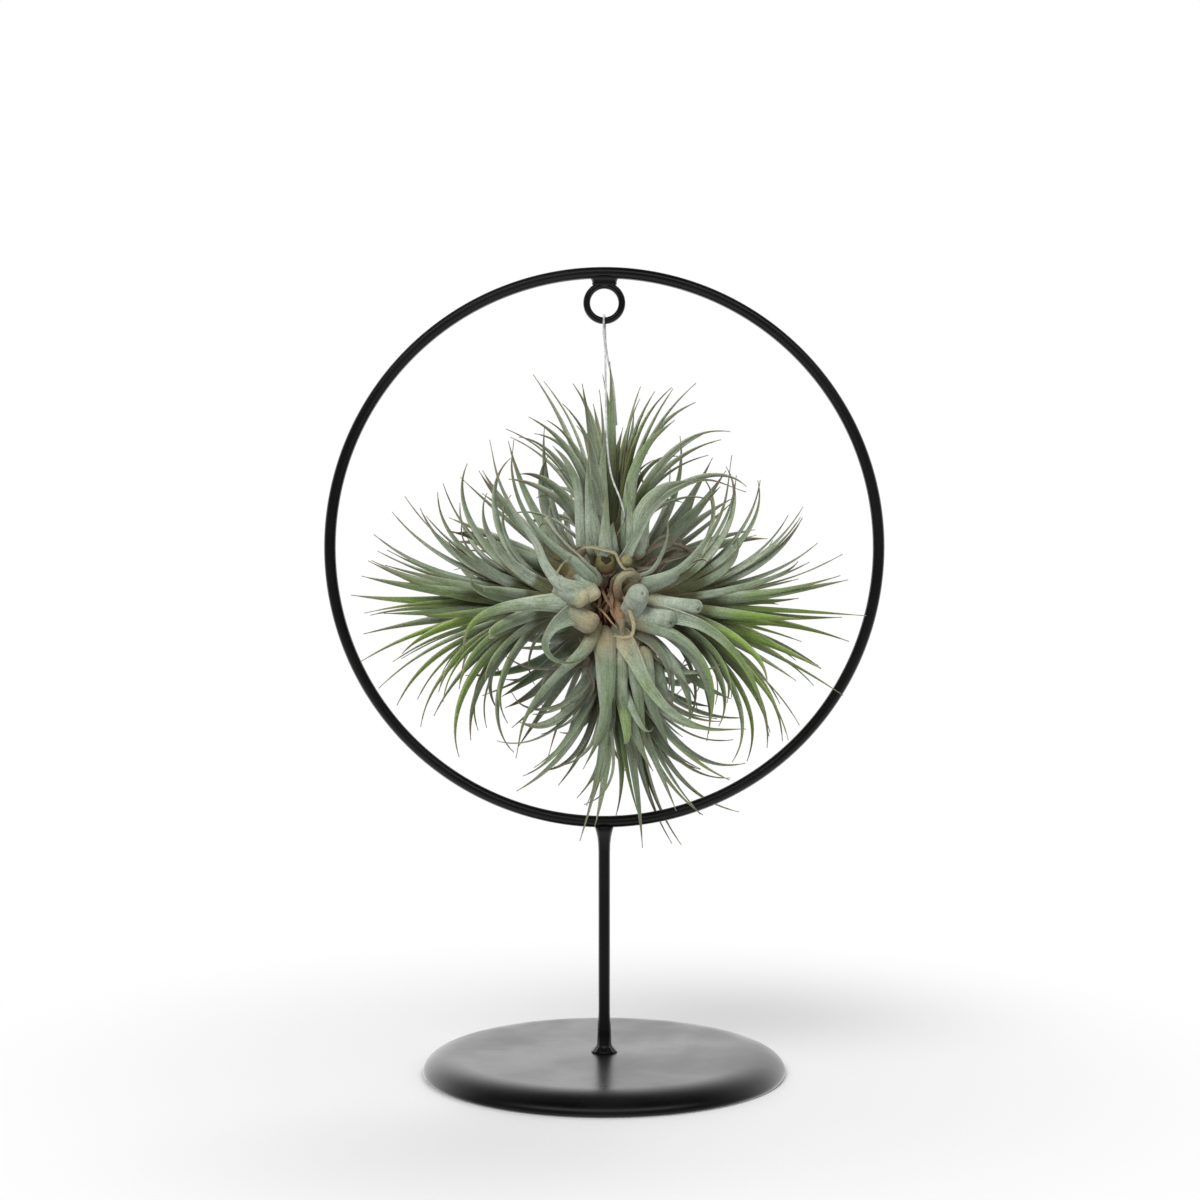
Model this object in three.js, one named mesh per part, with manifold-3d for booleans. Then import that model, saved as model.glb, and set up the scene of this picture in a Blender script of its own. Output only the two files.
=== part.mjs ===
// An air plant, a clump of narrow-leaved rosettes, that hangs by a thin line in a black ring stand.
// Millimetres, +Z up. The origin is the middle of the foot's underside, on the table. The hoop stands in the
// XZ plane, and the clump's root side faces -Y.
import * as THREE from "three";
import { mergeVertices } from "three/addons/utils/BufferGeometryUtils.js";
import Module from "manifold-3d";

const wasm = await Module();
wasm.setup();

// Stand
const HEIGHT = 288;
const HOOP_OUTER = 200;
const ROD = 4.2; // diameter of the hoop's and stem's rod
const FOOT_DIAMETER = 130;
const FOOT_HEIGHT = 7;
const SHOULDER = 9; // width of the foot's rounded shoulder
const FOOT_EDGE = 1.2; // straight edge below the shoulder
const EYE_OUTER = 15;
const EYE_ROD = 2.5;
const EYE_Z = 275.2; // middle of the eyelet
const EYE_WELD = [5.4, 2.2, 2.6]; // half sizes of the bead that joins the eyelet to the hoop
const STEM_COLLAR = 4.6; // radius of the weld at the stem's foot
const STEM_FLARE = 3.3; // radius of the weld under the hoop
const GAP = 0.3; // clearance between pieces that touch
const FINEST = 0.01; // edges shorter than this are merged where solids are joined or cut

const HOOP_Z = HEIGHT - HOOP_OUTER / 2;
const HOOP_RADIUS = (HOOP_OUTER - ROD) / 2;
const EYE_RADIUS = (EYE_OUTER - EYE_ROD) / 2;

// Hanging line: from its end among the upper rosette's leaves up behind the eyelet's rod, over the rod, and down
// in front of that rosette into its stem
const LINE_DIAMETER = 0.7;
const LINE_STEP = 2.4;
const LINE_ROUTE = [
  [4.4, 4.5, 232], [3.2, 3, 246], [1.4, 2, 255], [0.5, 1.1, 261], [0.35, 1.2, 265], [0.2, 2, 268.9], [0.1, 1.3, 270.6],
  [0, 0, 271.1], [-0.1, -1.3, 270.6], [-0.2, -2, 268.9], [-0.3, -1.6, 265], [0.2, -2.4, 260], [0.6, -8, 238],
  [1.2, -15, 222], [2.6, -21, 213], [5.4, -25.5, 205.5], [6.8, -25, 200], [5.8, -21.5, 195.5], [4, -17.5, 192],
  [2.5, -14.5, 190],
];

// Plant
const CLUMP = new THREE.Vector3(0, -18, 170); // middle of the crown
const CROWN_SIZE = [9.5, 8, 12]; // half sizes of the crown's old stem
const CORE_RADIUS = 6.5; // half the thickness of a rosette's stem
const CORE_HALF = 11; // half of its length
const FOOT = 3.8; // how far a leaf is rooted from its rosette's axis
const TAPER = 1.7; // how long a rosette's leaf stays broad
const CROWN_TAPER = 1.2; // the same for the crown's own leaves
const CROWN_CLEAR_FROM = 3; // the step from which these leaves keep clear; they may pass a rosette's stem below it
const SMALL_STEP = 1e-4; // share of a leaf's length over which its heading is measured
const GOLDEN_ANGLE = 137.508;
const LEAF_STEPS = 20; // steps along a leaf
const LEAF_RINGS = [0, 4, 9, 14]; // the steps at which a leaf's solid has a ring; its tip is the last step
const ROOT_SHARE = 0.5; // a leaf's solid narrows to this share of its sheath at the root, inside the core
const LEAF_THICKNESS = 0.8; // least thickness of a blade
const CLEAR = 0.8; // distance kept between leaves of different rosettes
const TRIES = 36; // how often a leaf may be bent aside to keep that distance

// Each rosette: the way its axis points, how far from the crown it starts, the length of its longest leaf, how
// many leaves fill it, how far they spread, and its seed. Its outermost leaves are then listed by hand: where the
// tip is, from the middle of the crown, and by how many degrees the leaf bends over.
const ROSETTES = [
  {
    name: "rosette_up", axis: [0.05, 0.3, 1], start: 13, reach: 70, fill: 23, spread: 60, seed: 3,
    tips: [
      [3, 16, 84, 6], [-11, 6, 76, 30], [-20, 2, 63, 38], [-25, 20, 59, 42], [18, 20, 74, 16], [26, 10, 77, 26],
      [35, 8, 72, 32], [42, 16, 60, 46], [50, 8, 40, 58], [27, 26, 51, 44], [-8, 4, 60, 10], [9, 6, 60, 12],
      [-18, 16, 46, 50], [-24, 12, 36, 60], [14, 30, 66, 14], [-4, 30, 70, 10], [20, 2, 48, 40],
      [13, 24, 76, 10],
    ],
  },
  {
    name: "rosette_left", axis: [-1, 0.24, -0.03], start: 13, reach: 74, fill: 27, spread: 60, seed: 5,
    tips: [
      [-59, 12, 38, 40], [-48, 4, 48, 48], [-41, 16, 52, 50], [-33, 8, 50, 54], [-75, 10, 31, 22],
      [-82, 16, 23, 16], [-90, 14, 1.5, 8], [-82, 6, 14, 14], [-84, 22, -6, 10], [-85, 8, -12, 12],
      [-77, 16, -38, 24], [-81, 20, -19, 14], [-65, 8, -45, 34], [-51, 2, -55, 42], [-45, 16, -47, 44],
      [-32, 8, -54, 52], [-70, -6, 8, 18], [-58, 0, -32, 34],
    ],
  },
  {
    name: "rosette_right", axis: [1, 0.24, -0.08], start: 13, reach: 74, fill: 27, spread: 60, seed: 7,
    tips: [
      [70, 10, 29, 26], [76, 16, 20, 18], [76, 8, 6, 10], [87, 14, -15, 10], [75, 18, -31, 18],
      [63, 8, -50, 34], [58, 14, -53, 36], [45, 4, -57, 50], [46, -4, 22, 56], [45, 8, 49, 50],
      [35, 14, 43, 52], [68, -4, -23, 24], [50, 18, 43, 48], [62, -10, -8, 20], [70, 24, 0, 12],
      [51, 16, -58, 44], [40, 0, -44, 48],
    ],
  },
  {
    name: "rosette_down", axis: [0.16, 0.24, -1], start: 14, reach: 70, fill: 25, spread: 58, seed: 9,
    tips: [
      [5, 20, -78, 16], [-6, 24, -74, 26], [-6, 8, -66, 30], [-22, 12, -61, 46], [23, 26, -88, 12],
      [28, 30, -90, 14], [49, 30, -78, 30], [45, 16, -64, 42], [50, 10, -58, 46], [20, 6, -61, 12],
      [12, 0, -58, 14], [-16, 20, -48, 52], [34, 8, -60, 34], [-30, 16, -44, 58],
    ],
  },
  {
    name: "rosette_back_left", axis: [-0.62, 0.85, 0.5], start: 14, reach: 62, fill: 21, spread: 64, seed: 11,
    tips: [[-44, 30, 46, 30], [-56, 34, 20, 30]],
  },
  {
    name: "rosette_back_right", axis: [0.62, 0.85, 0.5], start: 14, reach: 62, fill: 21, spread: 64, seed: 13,
    tips: [[44, 30, 46, 30], [34, 40, 40, 30]],
  },
  {
    name: "rosette_back_low", axis: [-0.15, 0.9, -0.62], start: 14, reach: 62, fill: 22, spread: 66, seed: 17,
    tips: [[-36, 30, -40, 50], [-36, 34, -30, 50], [40, 34, -40, 40]],
  },
];

// The crown's own leaves: width, the side that the channel faces (1 is the front), and the places that the leaf
// passes from root to tip, from the middle of the crown.
const CROWN_SEED = 1;
const CROWN_LEAVES = [
  { width: 7.6, front: -1, path: [
    [-4.2, -6, 0.4], [-9, -12, 3.3], [-15.2, -15, 6.5], [-20, -15, 12.3], [-23.5, -14, 20.3], [-30.4, -12, 29.9],
    [-36.4, -10, 42], [-39.6, -8, 55.9],
  ] },
  { width: 6.6, front: -1, path: [
    [-1.4, -6, 3.2], [-4.5, -11, 8.5], [-9.7, -13, 13.4], [-15.9, -13, 17.8], [-22.8, -12, 24.4],
    [-28.7, -11, 33.4], [-31.9, -10, 45.5], [-31.2, -9, 55.9],
  ] },
  { width: 7.4, front: -1, path: [
    [-5.6, -5, -0.7], [-14.6, -12, -0.1], [-25.5, -15, -0.4], [-35.8, -16, -2.1], [-43.3, -17, -5.5],
    [-47.1, -18, -10.2], [-48.4, -19, -17.1],
  ] },
  { width: 8, front: 1, path: [
    [-4.2, -6, -3.1], [-11.8, -13, -4.6], [-17.6, -16, -8.6], [-20.3, -17, -14.1], [-18.3, -17, -18.6],
    [-12.8, -16, -20.7], [-5.9, -14, -19.1],
  ] },
  { width: 5, front: -1, path: [
    [-1.4, -4, -7], [-6.6, -11, -16.1], [-14.6, -13, -23.6], [-22.1, -14, -31.5], [-27.6, -15, -40.8],
    [-30.4, -16, -53.5],
  ] },
  { width: 7, front: -1, path: [
    [0, -4, -8.5], [0.7, -11, -18.5], [1.3, -13, -28.8], [-0.1, -14, -39.1], [-2.8, -15, -48.4], [-7.3, -16, -57.2],
  ] },
  { width: 6.6, front: 1, path: [
    [3.5, -4, -8], [9.7, -11, -18.5], [15.2, -13, -28.8], [23.4, -15, -38], [34.7, -16, -43.1], [48.5, -17, -43.3],
  ] },
  { width: 5.6, front: -1, path: [
    [6, -4, -5], [17.6, -11, -8.8], [26.9, -13, -13.2], [33.8, -14, -20.8], [37.2, -15, -31.1], [35.1, -16, -47.6],
  ] },
  { width: 6.2, front: 1, path: [
    [7, -3.5, -3], [22.8, -11, -4.7], [34.8, -13, -8.7], [45.1, -14, -17.7], [52.4, -15, -30.4], [56.5, -16, -45.9],
  ] },
  { width: 5.4, front: -1, path: [
    [6.5, -3.5, 3.5], [17.6, -10, 7.1], [26.2, -12, 11.6], [34.1, -13, 20.2], [40.6, -14, 32.3], [43.6, -15, 50.5],
  ] },
  { width: 4.6, front: 1, path: [
    [3.8, -3.5, 8], [5.6, -8, 12.2], [10.5, -9.5, 21.3], [16, -11, 31], [24.5, -12, 38.5], [34.8, -13, 42],
    [48.5, -14, 37.8],
  ] },
  { width: 6.6, front: -1, path: [
    [0.5, -4, 8.5], [0.3, -9, 13.6], [0.2, -12, 20.6], [0.4, -13, 29.9], [0.8, -12, 39.6],
  ] },
];

// Blunt leaf stubs: both ends from the middle of the crown, and radius
const STUBS = [
  { from: [6.2, -6, -3.1], to: [10.9, -16, 3.8], radius: 4.2 },
  { from: [9, -5, -4.5], to: [24.5, -13, -7], radius: 3.6 },
  { from: [12.5, -4, 0.3], to: [33.9, -11, -2.2], radius: 2.8 },
  { from: [11.2, -3, 3.8], to: [25.6, -10, 10.2], radius: 2.7 },
];

const vector = (values) => new THREE.Vector3(...values);
const radians = THREE.MathUtils.degToRad;
const degrees = THREE.MathUtils.radToDeg;

// A row of random numbers from 0 to 1 that is the same each time.
function seeded(seed) {
  let state = seed * 7919 + 12345;
  return () => {
    state = (state * 1664525 + 1013904223) % 4294967296;
    return state / 4294967296;
  };
}

// Solids from closed meshes, and back

function solid(positions, triangles) {
  const mesh = new wasm.Mesh({
    numProp: 3,
    vertProperties: new Float32Array(positions),
    triVerts: new Uint32Array(triangles),
    tolerance: FINEST,
  });
  return new wasm.Manifold(mesh);
}

function solidOf(geometry) {
  const plain = geometry.clone();
  plain.deleteAttribute("normal");
  plain.deleteAttribute("uv");
  const merged = mergeVertices(plain, 1e-4);
  return solid(merged.attributes.position.array, merged.index.array);
}

function geometryOf(shape) {
  const mesh = shape.getMesh();
  const geometry = new THREE.BufferGeometry();
  geometry.setAttribute("position", new THREE.BufferAttribute(mesh.vertProperties, 3));
  geometry.setIndex(new THREE.BufferAttribute(mesh.triVerts, 1));
  geometry.computeVertexNormals();
  return geometry;
}

// The largest body of a solid: a loose scrap that a cut leaves is dropped.
function largestBody(shape) {
  const bodies = shape.decompose();
  bodies.sort((a, b) => b.volume() - a.volume());
  return bodies[0];
}

function ring(radius, rod, z, around, across) {
  const geometry = new THREE.TorusGeometry(radius, rod / 2, across, around);
  geometry.rotateX(Math.PI / 2);
  geometry.translate(0, 0, z);
  return geometry;
}

function ellipsoid(sizes, middle, axis = new THREE.Vector3(0, 0, 1), around = 10, down = 6) {
  const geometry = new THREE.SphereGeometry(1, around, down);
  geometry.rotateX(Math.PI / 2);
  geometry.scale(...sizes);
  geometry.applyQuaternion(new THREE.Quaternion().setFromUnitVectors(new THREE.Vector3(0, 0, 1), axis));
  geometry.translate(middle.x, middle.y, middle.z);
  return solidOf(geometry);
}

function turned(profile, around) {
  const points = profile.map(([radius, z]) => new THREE.Vector2(radius, z));
  const geometry = new THREE.LatheGeometry(points, around);
  geometry.rotateX(Math.PI / 2);
  return geometry;
}

// Stand

function footGeometry() {
  const radius = FOOT_DIAMETER / 2;
  const flat = radius - SHOULDER;
  const profile = [[0, 0], [radius, 0], [radius, FOOT_EDGE]];
  const turns = 4;
  for (let k = 1; k <= turns; k++) {
    const angle = (k / turns) * (Math.PI / 2);
    const rise = (FOOT_HEIGHT - FOOT_EDGE) * Math.sin(angle);
    profile.push([flat + SHOULDER * Math.cos(angle), FOOT_EDGE + rise]);
  }
  profile.push([0, FOOT_HEIGHT]);
  return turned(profile, 56);
}

function stemSolid() {
  const bottom = FOOT_HEIGHT + GAP;
  const top = HEIGHT - HOOP_OUTER + 1.6;
  const rod = ROD / 2;
  const profile = [
    [0, bottom], [STEM_COLLAR, bottom], [STEM_COLLAR - 1, bottom + 1], [rod + 0.4, bottom + 2.4],
    [rod + 0.3, bottom + 10], [rod, bottom + 14], [rod, top - 7], [rod + 0.4, top - 4],
    [STEM_FLARE, top - 1.8], [STEM_FLARE, top], [0, top],
  ];
  const hoopSpace = solidOf(ring(HOOP_RADIUS, ROD + 2 * GAP, HOOP_Z, 60, 8));
  return largestBody(solidOf(turned(profile, 16)).subtract(hoopSpace));
}

function eyeletSolid() {
  const eye = solidOf(ring(EYE_RADIUS, EYE_ROD, EYE_Z, 24, 8));
  const bead = ellipsoid(EYE_WELD, new THREE.Vector3(0, 0, HEIGHT - ROD - 1.6));
  const hoopSpace = solidOf(ring(HOOP_RADIUS, ROD + 2 * GAP, HOOP_Z, 60, 8));
  return largestBody(eye.add(bead).subtract(hoopSpace));
}

function lineGeometry(diameter = LINE_DIAMETER) {
  const path = new THREE.CatmullRomCurve3(LINE_ROUTE.map(vector), false, "centripetal");
  const section = new THREE.Shape();
  section.absarc(0, 0, diameter / 2, 0, 2 * Math.PI);
  const steps = Math.round(path.getLength() / LINE_STEP);
  return new THREE.ExtrudeGeometry(section, { extrudePath: path, steps, curveSegments: 4, bevelEnabled: false });
}

// Leaves

// The ways along a rosette's axis, across it on its front side, and across both.
function directions(axis) {
  const along = vector(axis).normalize();
  const front = new THREE.Vector3(0, -1, 0);
  const first = front.addScaledVector(along, -front.dot(along)).normalize();
  return { along, first, second: new THREE.Vector3().crossVectors(along, first) };
}

function between(along, outward, angle) {
  return along.clone().multiplyScalar(Math.cos(angle)).addScaledVector(outward, Math.sin(angle));
}

// The width of a leaf at share t of its length: a broad sheath, then a long taper to a point.
function widthAt(t, { width, taper }) {
  const blade = 1 - Math.max(0, (t - 0.15) / 0.85) ** taper;
  const sheath = 1 + 0.45 * Math.max(0, 1 - t / 0.22);
  return width * blade * sheath;
}

// The centreline of a leaf that leaves its rosette's axis and bends over, and the way to its side.
function bentCurve(leaf) {
  const { along } = leaf;
  const drift = leaf.drift + leaf.sway;
  const root = CLUMP.clone().add(leaf.root);
  const tip = CLUMP.clone().add(leaf.tip).add(leaf.shift);
  const outward = tip.clone().sub(root);
  outward.addScaledVector(along, -outward.dot(along)).normalize();
  root.addScaledVector(outward, FOOT);
  const chord = tip.clone().sub(root);
  const length = chord.length();
  const theta = degrees(Math.acos(THREE.MathUtils.clamp(chord.dot(along) / length, -1, 1)));
  const leave = radians(Math.max(theta - leaf.bend, 0.25 * theta));
  const arrive = radians(theta + 1.3 * leaf.bend);
  const side = new THREE.Vector3().crossVectors(along, outward);
  const setOut = between(along, outward, leave).multiplyScalar(0.38 * length);
  const runIn = between(along, outward, arrive).multiplyScalar(-0.36 * length);
  const curve = new THREE.CubicBezierCurve3(
    root,
    root.clone().add(setOut).addScaledVector(side, drift * 0.5),
    tip.clone().add(runIn).addScaledVector(side, drift),
    tip,
  );
  return { curve, sideAt: () => side };
}

// The centreline of one of the crown's leaves, through its listed places, and the way to its side.
function listedCurve(leaf) {
  const last = leaf.path.length - 1;
  const places = leaf.path.map((place, k) => CLUMP.clone().add(place).addScaledVector(leaf.shift, (k / last) ** 2));
  const curve = new THREE.CatmullRomCurve3(places, false, "centripetal");
  const face = new THREE.Vector3(0, -leaf.front, 0);
  return { curve, sideAt: (heading) => new THREE.Vector3().crossVectors(face, heading).normalize() };
}

function headingOf(curve, t) {
  const ahead = curve.getPoint(Math.min(t + SMALL_STEP, 1));
  return ahead.sub(curve.getPoint(Math.max(t - SMALL_STEP, 0))).normalize();
}

// A leaf from root to tip. Each step has its place, the way across the blade, the way its channel faces, and the
// width. The cloud is the balls that stand for the leaf in tests of clearance.
function leafLine(leaf) {
  const { curve, sideAt } = leaf.path ? listedCurve(leaf) : bentCurve(leaf);
  const line = [];
  for (let k = 0; k <= LEAF_STEPS; k++) {
    const t = k / LEAF_STEPS;
    const heading = headingOf(curve, t);
    const side = sideAt(heading);
    const across = side.clone().addScaledVector(heading, -side.dot(heading)).normalize();
    const up = new THREE.Vector3().crossVectors(heading, across);
    const twist = radians(leaf.twist) * t ** 1.5;
    line.push({
      at: curve.getPoint(t),
      across: across.clone().multiplyScalar(Math.cos(twist)).addScaledVector(up, Math.sin(twist)),
      up: up.multiplyScalar(Math.cos(twist)).addScaledVector(across, -Math.sin(twist)),
      width: widthAt(t, leaf),
    });
  }
  return line;
}

// A leaf as a closed solid with a three-sided section: two edges and a keel.
function leafSolid(line, grow = 0) {
  const positions = [];
  const triangles = [0, 2, 1];
  LEAF_RINGS.forEach((k) => {
    const { at, up, across } = line[k];
    const width = line[k].width * (k === 0 ? ROOT_SHARE : 1);
    const half = Math.max(width, LEAF_THICKNESS) / 2 + grow;
    const left = at.clone().addScaledVector(across, half).addScaledVector(up, 0.1 * width + grow);
    const right = at.clone().addScaledVector(across, -half).addScaledVector(up, 0.1 * width + grow);
    const keel = at.clone().addScaledVector(up, -Math.max(0.24 * width, LEAF_THICKNESS) - grow);
    positions.push(...left.toArray(), ...right.toArray(), ...keel.toArray());
  });
  positions.push(...line[LEAF_STEPS].at.toArray());
  const last = 3 * (LEAF_RINGS.length - 1);
  for (let a = 0; a < last; a++) {
    const b = a % 3 === 2 ? a - 2 : a + 1;
    triangles.push(a, b, a + 3, b, b + 3, a + 3);
  }
  triangles.push(last, last + 1, last + 3, last + 1, last + 2, last + 3, last + 2, last, last + 3);
  return solid(positions, triangles);
}

// Settings of a leaf that is listed by hand, of one that fills its rosette, and of one of the crown's own leaves.

function listedLeaf(rosette, [x, y, z, bend], random) {
  const { along } = directions(rosette.axis);
  const rise = 2 + 4 * random();
  return {
    along, bend,
    root: along.clone().multiplyScalar(rosette.start + rise),
    tip: new THREE.Vector3(x, y, z),
    drift: 4 * (random() - 0.5),
    twist: 50 * (random() - 0.5),
    width: 5 + 1.2 * random(),
    taper: TAPER,
    clearFrom: 0,
  };
}

function fillingLeaf(rosette, i, random) {
  const { along, first, second } = directions(rosette.axis);
  const age = (i + 1) / rosette.fill;
  const azimuth = radians(i * GOLDEN_ANGLE + 30 * (random() - 0.5));
  const theta = radians(8 + rosette.spread * age ** 0.8 + 10 * (random() - 0.5));
  const length = rosette.reach * (1 - 0.4 * age * age) * (0.78 + 0.22 * random());
  const out = between(first, second, azimuth);
  const tip = along.clone().multiplyScalar(rosette.start + 6 * (1 - age) + length * Math.cos(theta));
  tip.addScaledVector(out, 2.5 + length * Math.sin(theta));
  return {
    along, tip,
    root: along.clone().multiplyScalar(rosette.start + 10 * (1 - age)),
    bend: 6 + 46 * age * (0.6 + 0.6 * random()),
    drift: 8 * (random() - 0.5),
    twist: 60 * (random() - 0.5),
    width: (4 + 2 * age) * (0.9 + 0.2 * random()),
    taper: TAPER,
    clearFrom: 0,
  };
}

function crownLeaf({ width, front, path }, random) {
  const twist = 20 * (random() - 0.5);
  return { path: path.map(vector), width, front, twist, taper: CROWN_TAPER, clearFrom: CROWN_CLEAR_FROM };
}

// Clearance between things that grow from different middles: each is a cloud of balls, and no two balls of
// different clouds come closer than CLEAR.

function cloudOf(balls) {
  const box = new THREE.Box3();
  balls.forEach(({ at, radius }) => {
    box.expandByPoint(at.clone().addScalar(radius));
    box.expandByPoint(at.clone().addScalar(-radius));
  });
  return { balls, box };
}

// The balls of a leaf lie in three rows along the straight stretches between the rings of its solid.
function leafCloud(line, first) {
  const balls = [];
  const rings = [...LEAF_RINGS, LEAF_STEPS];
  [-1, 0, 1].forEach((side) => {
    line.forEach(({ across, width }, k) => {
      if (k < first) return;
      const next = Math.max(1, rings.findIndex((ring) => ring >= k));
      const [a, b] = [rings[next - 1], rings[next]];
      const at = line[a].at.clone().lerp(line[b].at, (k - a) / (b - a));
      const radius = Math.max(0.2 * width, 0.9);
      balls.push({ at: at.addScaledVector(across, (side * width) / 3), radius });
    });
  });
  return cloudOf(balls);
}

function rodCloud(from, to, radius, count = 8) {
  const balls = [];
  for (let k = 0; k < count; k++) balls.push({ at: from.clone().lerp(to, k / (count - 1)), radius });
  return cloudOf(balls);
}

function touchesHoop({ balls }) {
  return balls.some(({ at, radius }) => {
    const fromRing = Math.hypot(at.x, at.z - HOOP_Z) - HOOP_RADIUS;
    return Math.hypot(fromRing, at.y) < ROD / 2 + 1.2 + radius;
  });
}

function touches(one, other) {
  const near = one.balls.filter(({ at, radius }) => other.box.distanceToPoint(at) < radius + CLEAR);
  return near.some((a) => other.balls.some((b) => a.at.distanceTo(b.at) < a.radius + b.radius + CLEAR));
}

// Growing the clump

const growth = { crown: { clouds: [], solids: [] }, line: { clouds: [] } };
ROSETTES.forEach(({ name }) => {
  growth[name] = { clouds: [], solids: [], spaces: [] };
});

function coreMiddle({ axis, start }) {
  return CLUMP.clone().addScaledVector(vector(axis).normalize(), start + 3.5);
}

function placeCores() {
  for (let k = 0; k + 2 < LINE_ROUTE.length; k++) {
    growth.line.clouds.push(rodCloud(vector(LINE_ROUTE[k]), vector(LINE_ROUTE[k + 1]), 0.6));
  }
  const top = CLUMP.clone().add(new THREE.Vector3(0, 0, 3));
  const bottom = CLUMP.clone().add(new THREE.Vector3(0, 0, -3));
  growth.crown.clouds.push(rodCloud(bottom, top, 8));
  growth.crown.solids.push(ellipsoid(CROWN_SIZE, CLUMP, undefined, 14, 8));
  ROSETTES.forEach((rosette) => {
    const { along } = directions(rosette.axis);
    const from = CLUMP.clone().addScaledVector(along, rosette.start - 1);
    const to = CLUMP.clone().addScaledVector(along, rosette.start + 8);
    const own = growth[rosette.name];
    own.clouds.push(rodCloud(from, to, CORE_RADIUS));
    const sizes = [CORE_RADIUS, CORE_RADIUS, CORE_HALF];
    own.solids.push(ellipsoid(sizes, coreMiddle(rosette), along));
    own.spaces.push(ellipsoid(sizes.map((size) => size + GAP), coreMiddle(rosette), along));
  });
}

function placeStubs() {
  STUBS.forEach(({ from, to, radius }) => {
    const start = CLUMP.clone().add(vector(from));
    const end = CLUMP.clone().add(vector(to));
    const axis = end.clone().sub(start);
    const geometry = new THREE.CylinderGeometry(0.86 * radius, radius, axis.length(), 10);
    geometry.applyQuaternion(new THREE.Quaternion().setFromUnitVectors(new THREE.Vector3(0, 1, 0), axis.normalize()));
    const middle = start.clone().lerp(end, 0.5);
    geometry.translate(middle.x, middle.y, middle.z);
    growth.crown.solids.push(solidOf(geometry));
    growth.crown.clouds.push(rodCloud(start, end, radius));
  });
}

// Puts a leaf in its place, bent aside a little more at each try until it is clear of everything that grows from
// another middle. One that finds no room is left out.
function placeLeaf(owner, leaf, random) {
  const others = Object.keys(growth).filter((name) => name !== owner).flatMap((name) => growth[name].clouds);
  leaf.shift = new THREE.Vector3();
  leaf.sway = 0;
  for (let k = 0; k < TRIES; k++) {
    const line = leafLine(leaf);
    const cloud = leafCloud(line, leaf.clearFrom);
    if (!touchesHoop(cloud) && !others.some((other) => touches(cloud, other))) {
      growth[owner].clouds.push(cloud);
      growth[owner].solids.push(leafSolid(line));
      if (growth[owner].spaces) growth[owner].spaces.push(leafSolid(line, GAP));
      return;
    }
    const reach = 3 + 0.5 * k;
    const x = reach * (random() - 0.5);
    const y = 2.2 * reach * (random() - 0.4);
    const z = reach * (random() - 0.5);
    leaf.shift = new THREE.Vector3(x, y, z);
    leaf.sway = 0.5 * reach * (random() - 0.5);
  }
}

function growClump() {
  placeCores();
  placeStubs();
  const crownRandom = seeded(CROWN_SEED);
  CROWN_LEAVES.forEach((entry) => placeLeaf("crown", crownLeaf(entry, crownRandom), crownRandom));
  ROSETTES.forEach((rosette) => {
    const random = seeded(rosette.seed);
    rosette.tips.forEach((tip) => placeLeaf(rosette.name, listedLeaf(rosette, tip, random), random));
  });
  ROSETTES.forEach((rosette) => {
    const random = seeded(rosette.seed + 100);
    for (let i = 0; i < rosette.fill; i++) placeLeaf(rosette.name, fillingLeaf(rosette, i, random), random);
  });
}

// The whole object

const PAINT = { color: 0x1a1b1c, metalness: 0.3, roughness: 0.38 };
const LEAF = { color: 0x7d9478, metalness: 0, roughness: 0.75 };
const OLD_STEM = { color: 0x8a6f52, metalness: 0, roughness: 0.85 };
const CLEAR_LINE = { color: 0xc9cbca, metalness: 0, roughness: 0.35 };

const group = new THREE.Group();
function addPiece(name, geometry, finish) {
  const mesh = new THREE.Mesh(geometry, new THREE.MeshStandardMaterial(finish));
  mesh.name = name;
  group.add(mesh);
}

addPiece("foot", footGeometry(), PAINT);
addPiece("stem", geometryOf(stemSolid()), PAINT);
addPiece("hoop", ring(HOOP_RADIUS, ROD, HOOP_Z, 60, 8), PAINT);
addPiece("eyelet", geometryOf(eyeletSolid()), PAINT);
addPiece("hanging_line", lineGeometry(), CLEAR_LINE);

growClump();
const spaces = ROSETTES.flatMap(({ name }) => growth[name].spaces);
const crown = wasm.Manifold.union(growth.crown.solids).subtract(wasm.Manifold.union(spaces));
addPiece("crown", geometryOf(largestBody(crown)), OLD_STEM);
// Each rosette is cut clear of the line, whose end lies in the first one's stem, and of the stems before it.
const cuts = [solidOf(lineGeometry(LINE_DIAMETER + 2 * GAP))];
ROSETTES.forEach(({ name }) => {
  const rosette = wasm.Manifold.union(growth[name].solids).subtract(wasm.Manifold.union(cuts));
  addPiece(name, geometryOf(largestBody(rosette)), LEAF);
  cuts.push(growth[name].spaces[0]);
});

export default group;
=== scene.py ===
import math
from collections import namedtuple

import bpy
import numpy as np
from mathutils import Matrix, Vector
from mathutils.kdtree import KDTree


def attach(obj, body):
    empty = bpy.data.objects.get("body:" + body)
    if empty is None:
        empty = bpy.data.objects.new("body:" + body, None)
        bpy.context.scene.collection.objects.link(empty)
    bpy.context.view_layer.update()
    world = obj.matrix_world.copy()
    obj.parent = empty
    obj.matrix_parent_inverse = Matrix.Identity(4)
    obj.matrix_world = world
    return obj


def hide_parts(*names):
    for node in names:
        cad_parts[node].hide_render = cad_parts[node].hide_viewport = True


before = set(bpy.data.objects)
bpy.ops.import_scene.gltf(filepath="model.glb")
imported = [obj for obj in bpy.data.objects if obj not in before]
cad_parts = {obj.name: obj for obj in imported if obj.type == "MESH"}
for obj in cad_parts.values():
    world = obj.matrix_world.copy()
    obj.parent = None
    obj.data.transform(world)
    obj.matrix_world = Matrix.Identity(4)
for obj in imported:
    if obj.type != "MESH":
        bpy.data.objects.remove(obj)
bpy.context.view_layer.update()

MM = 0.001

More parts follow.
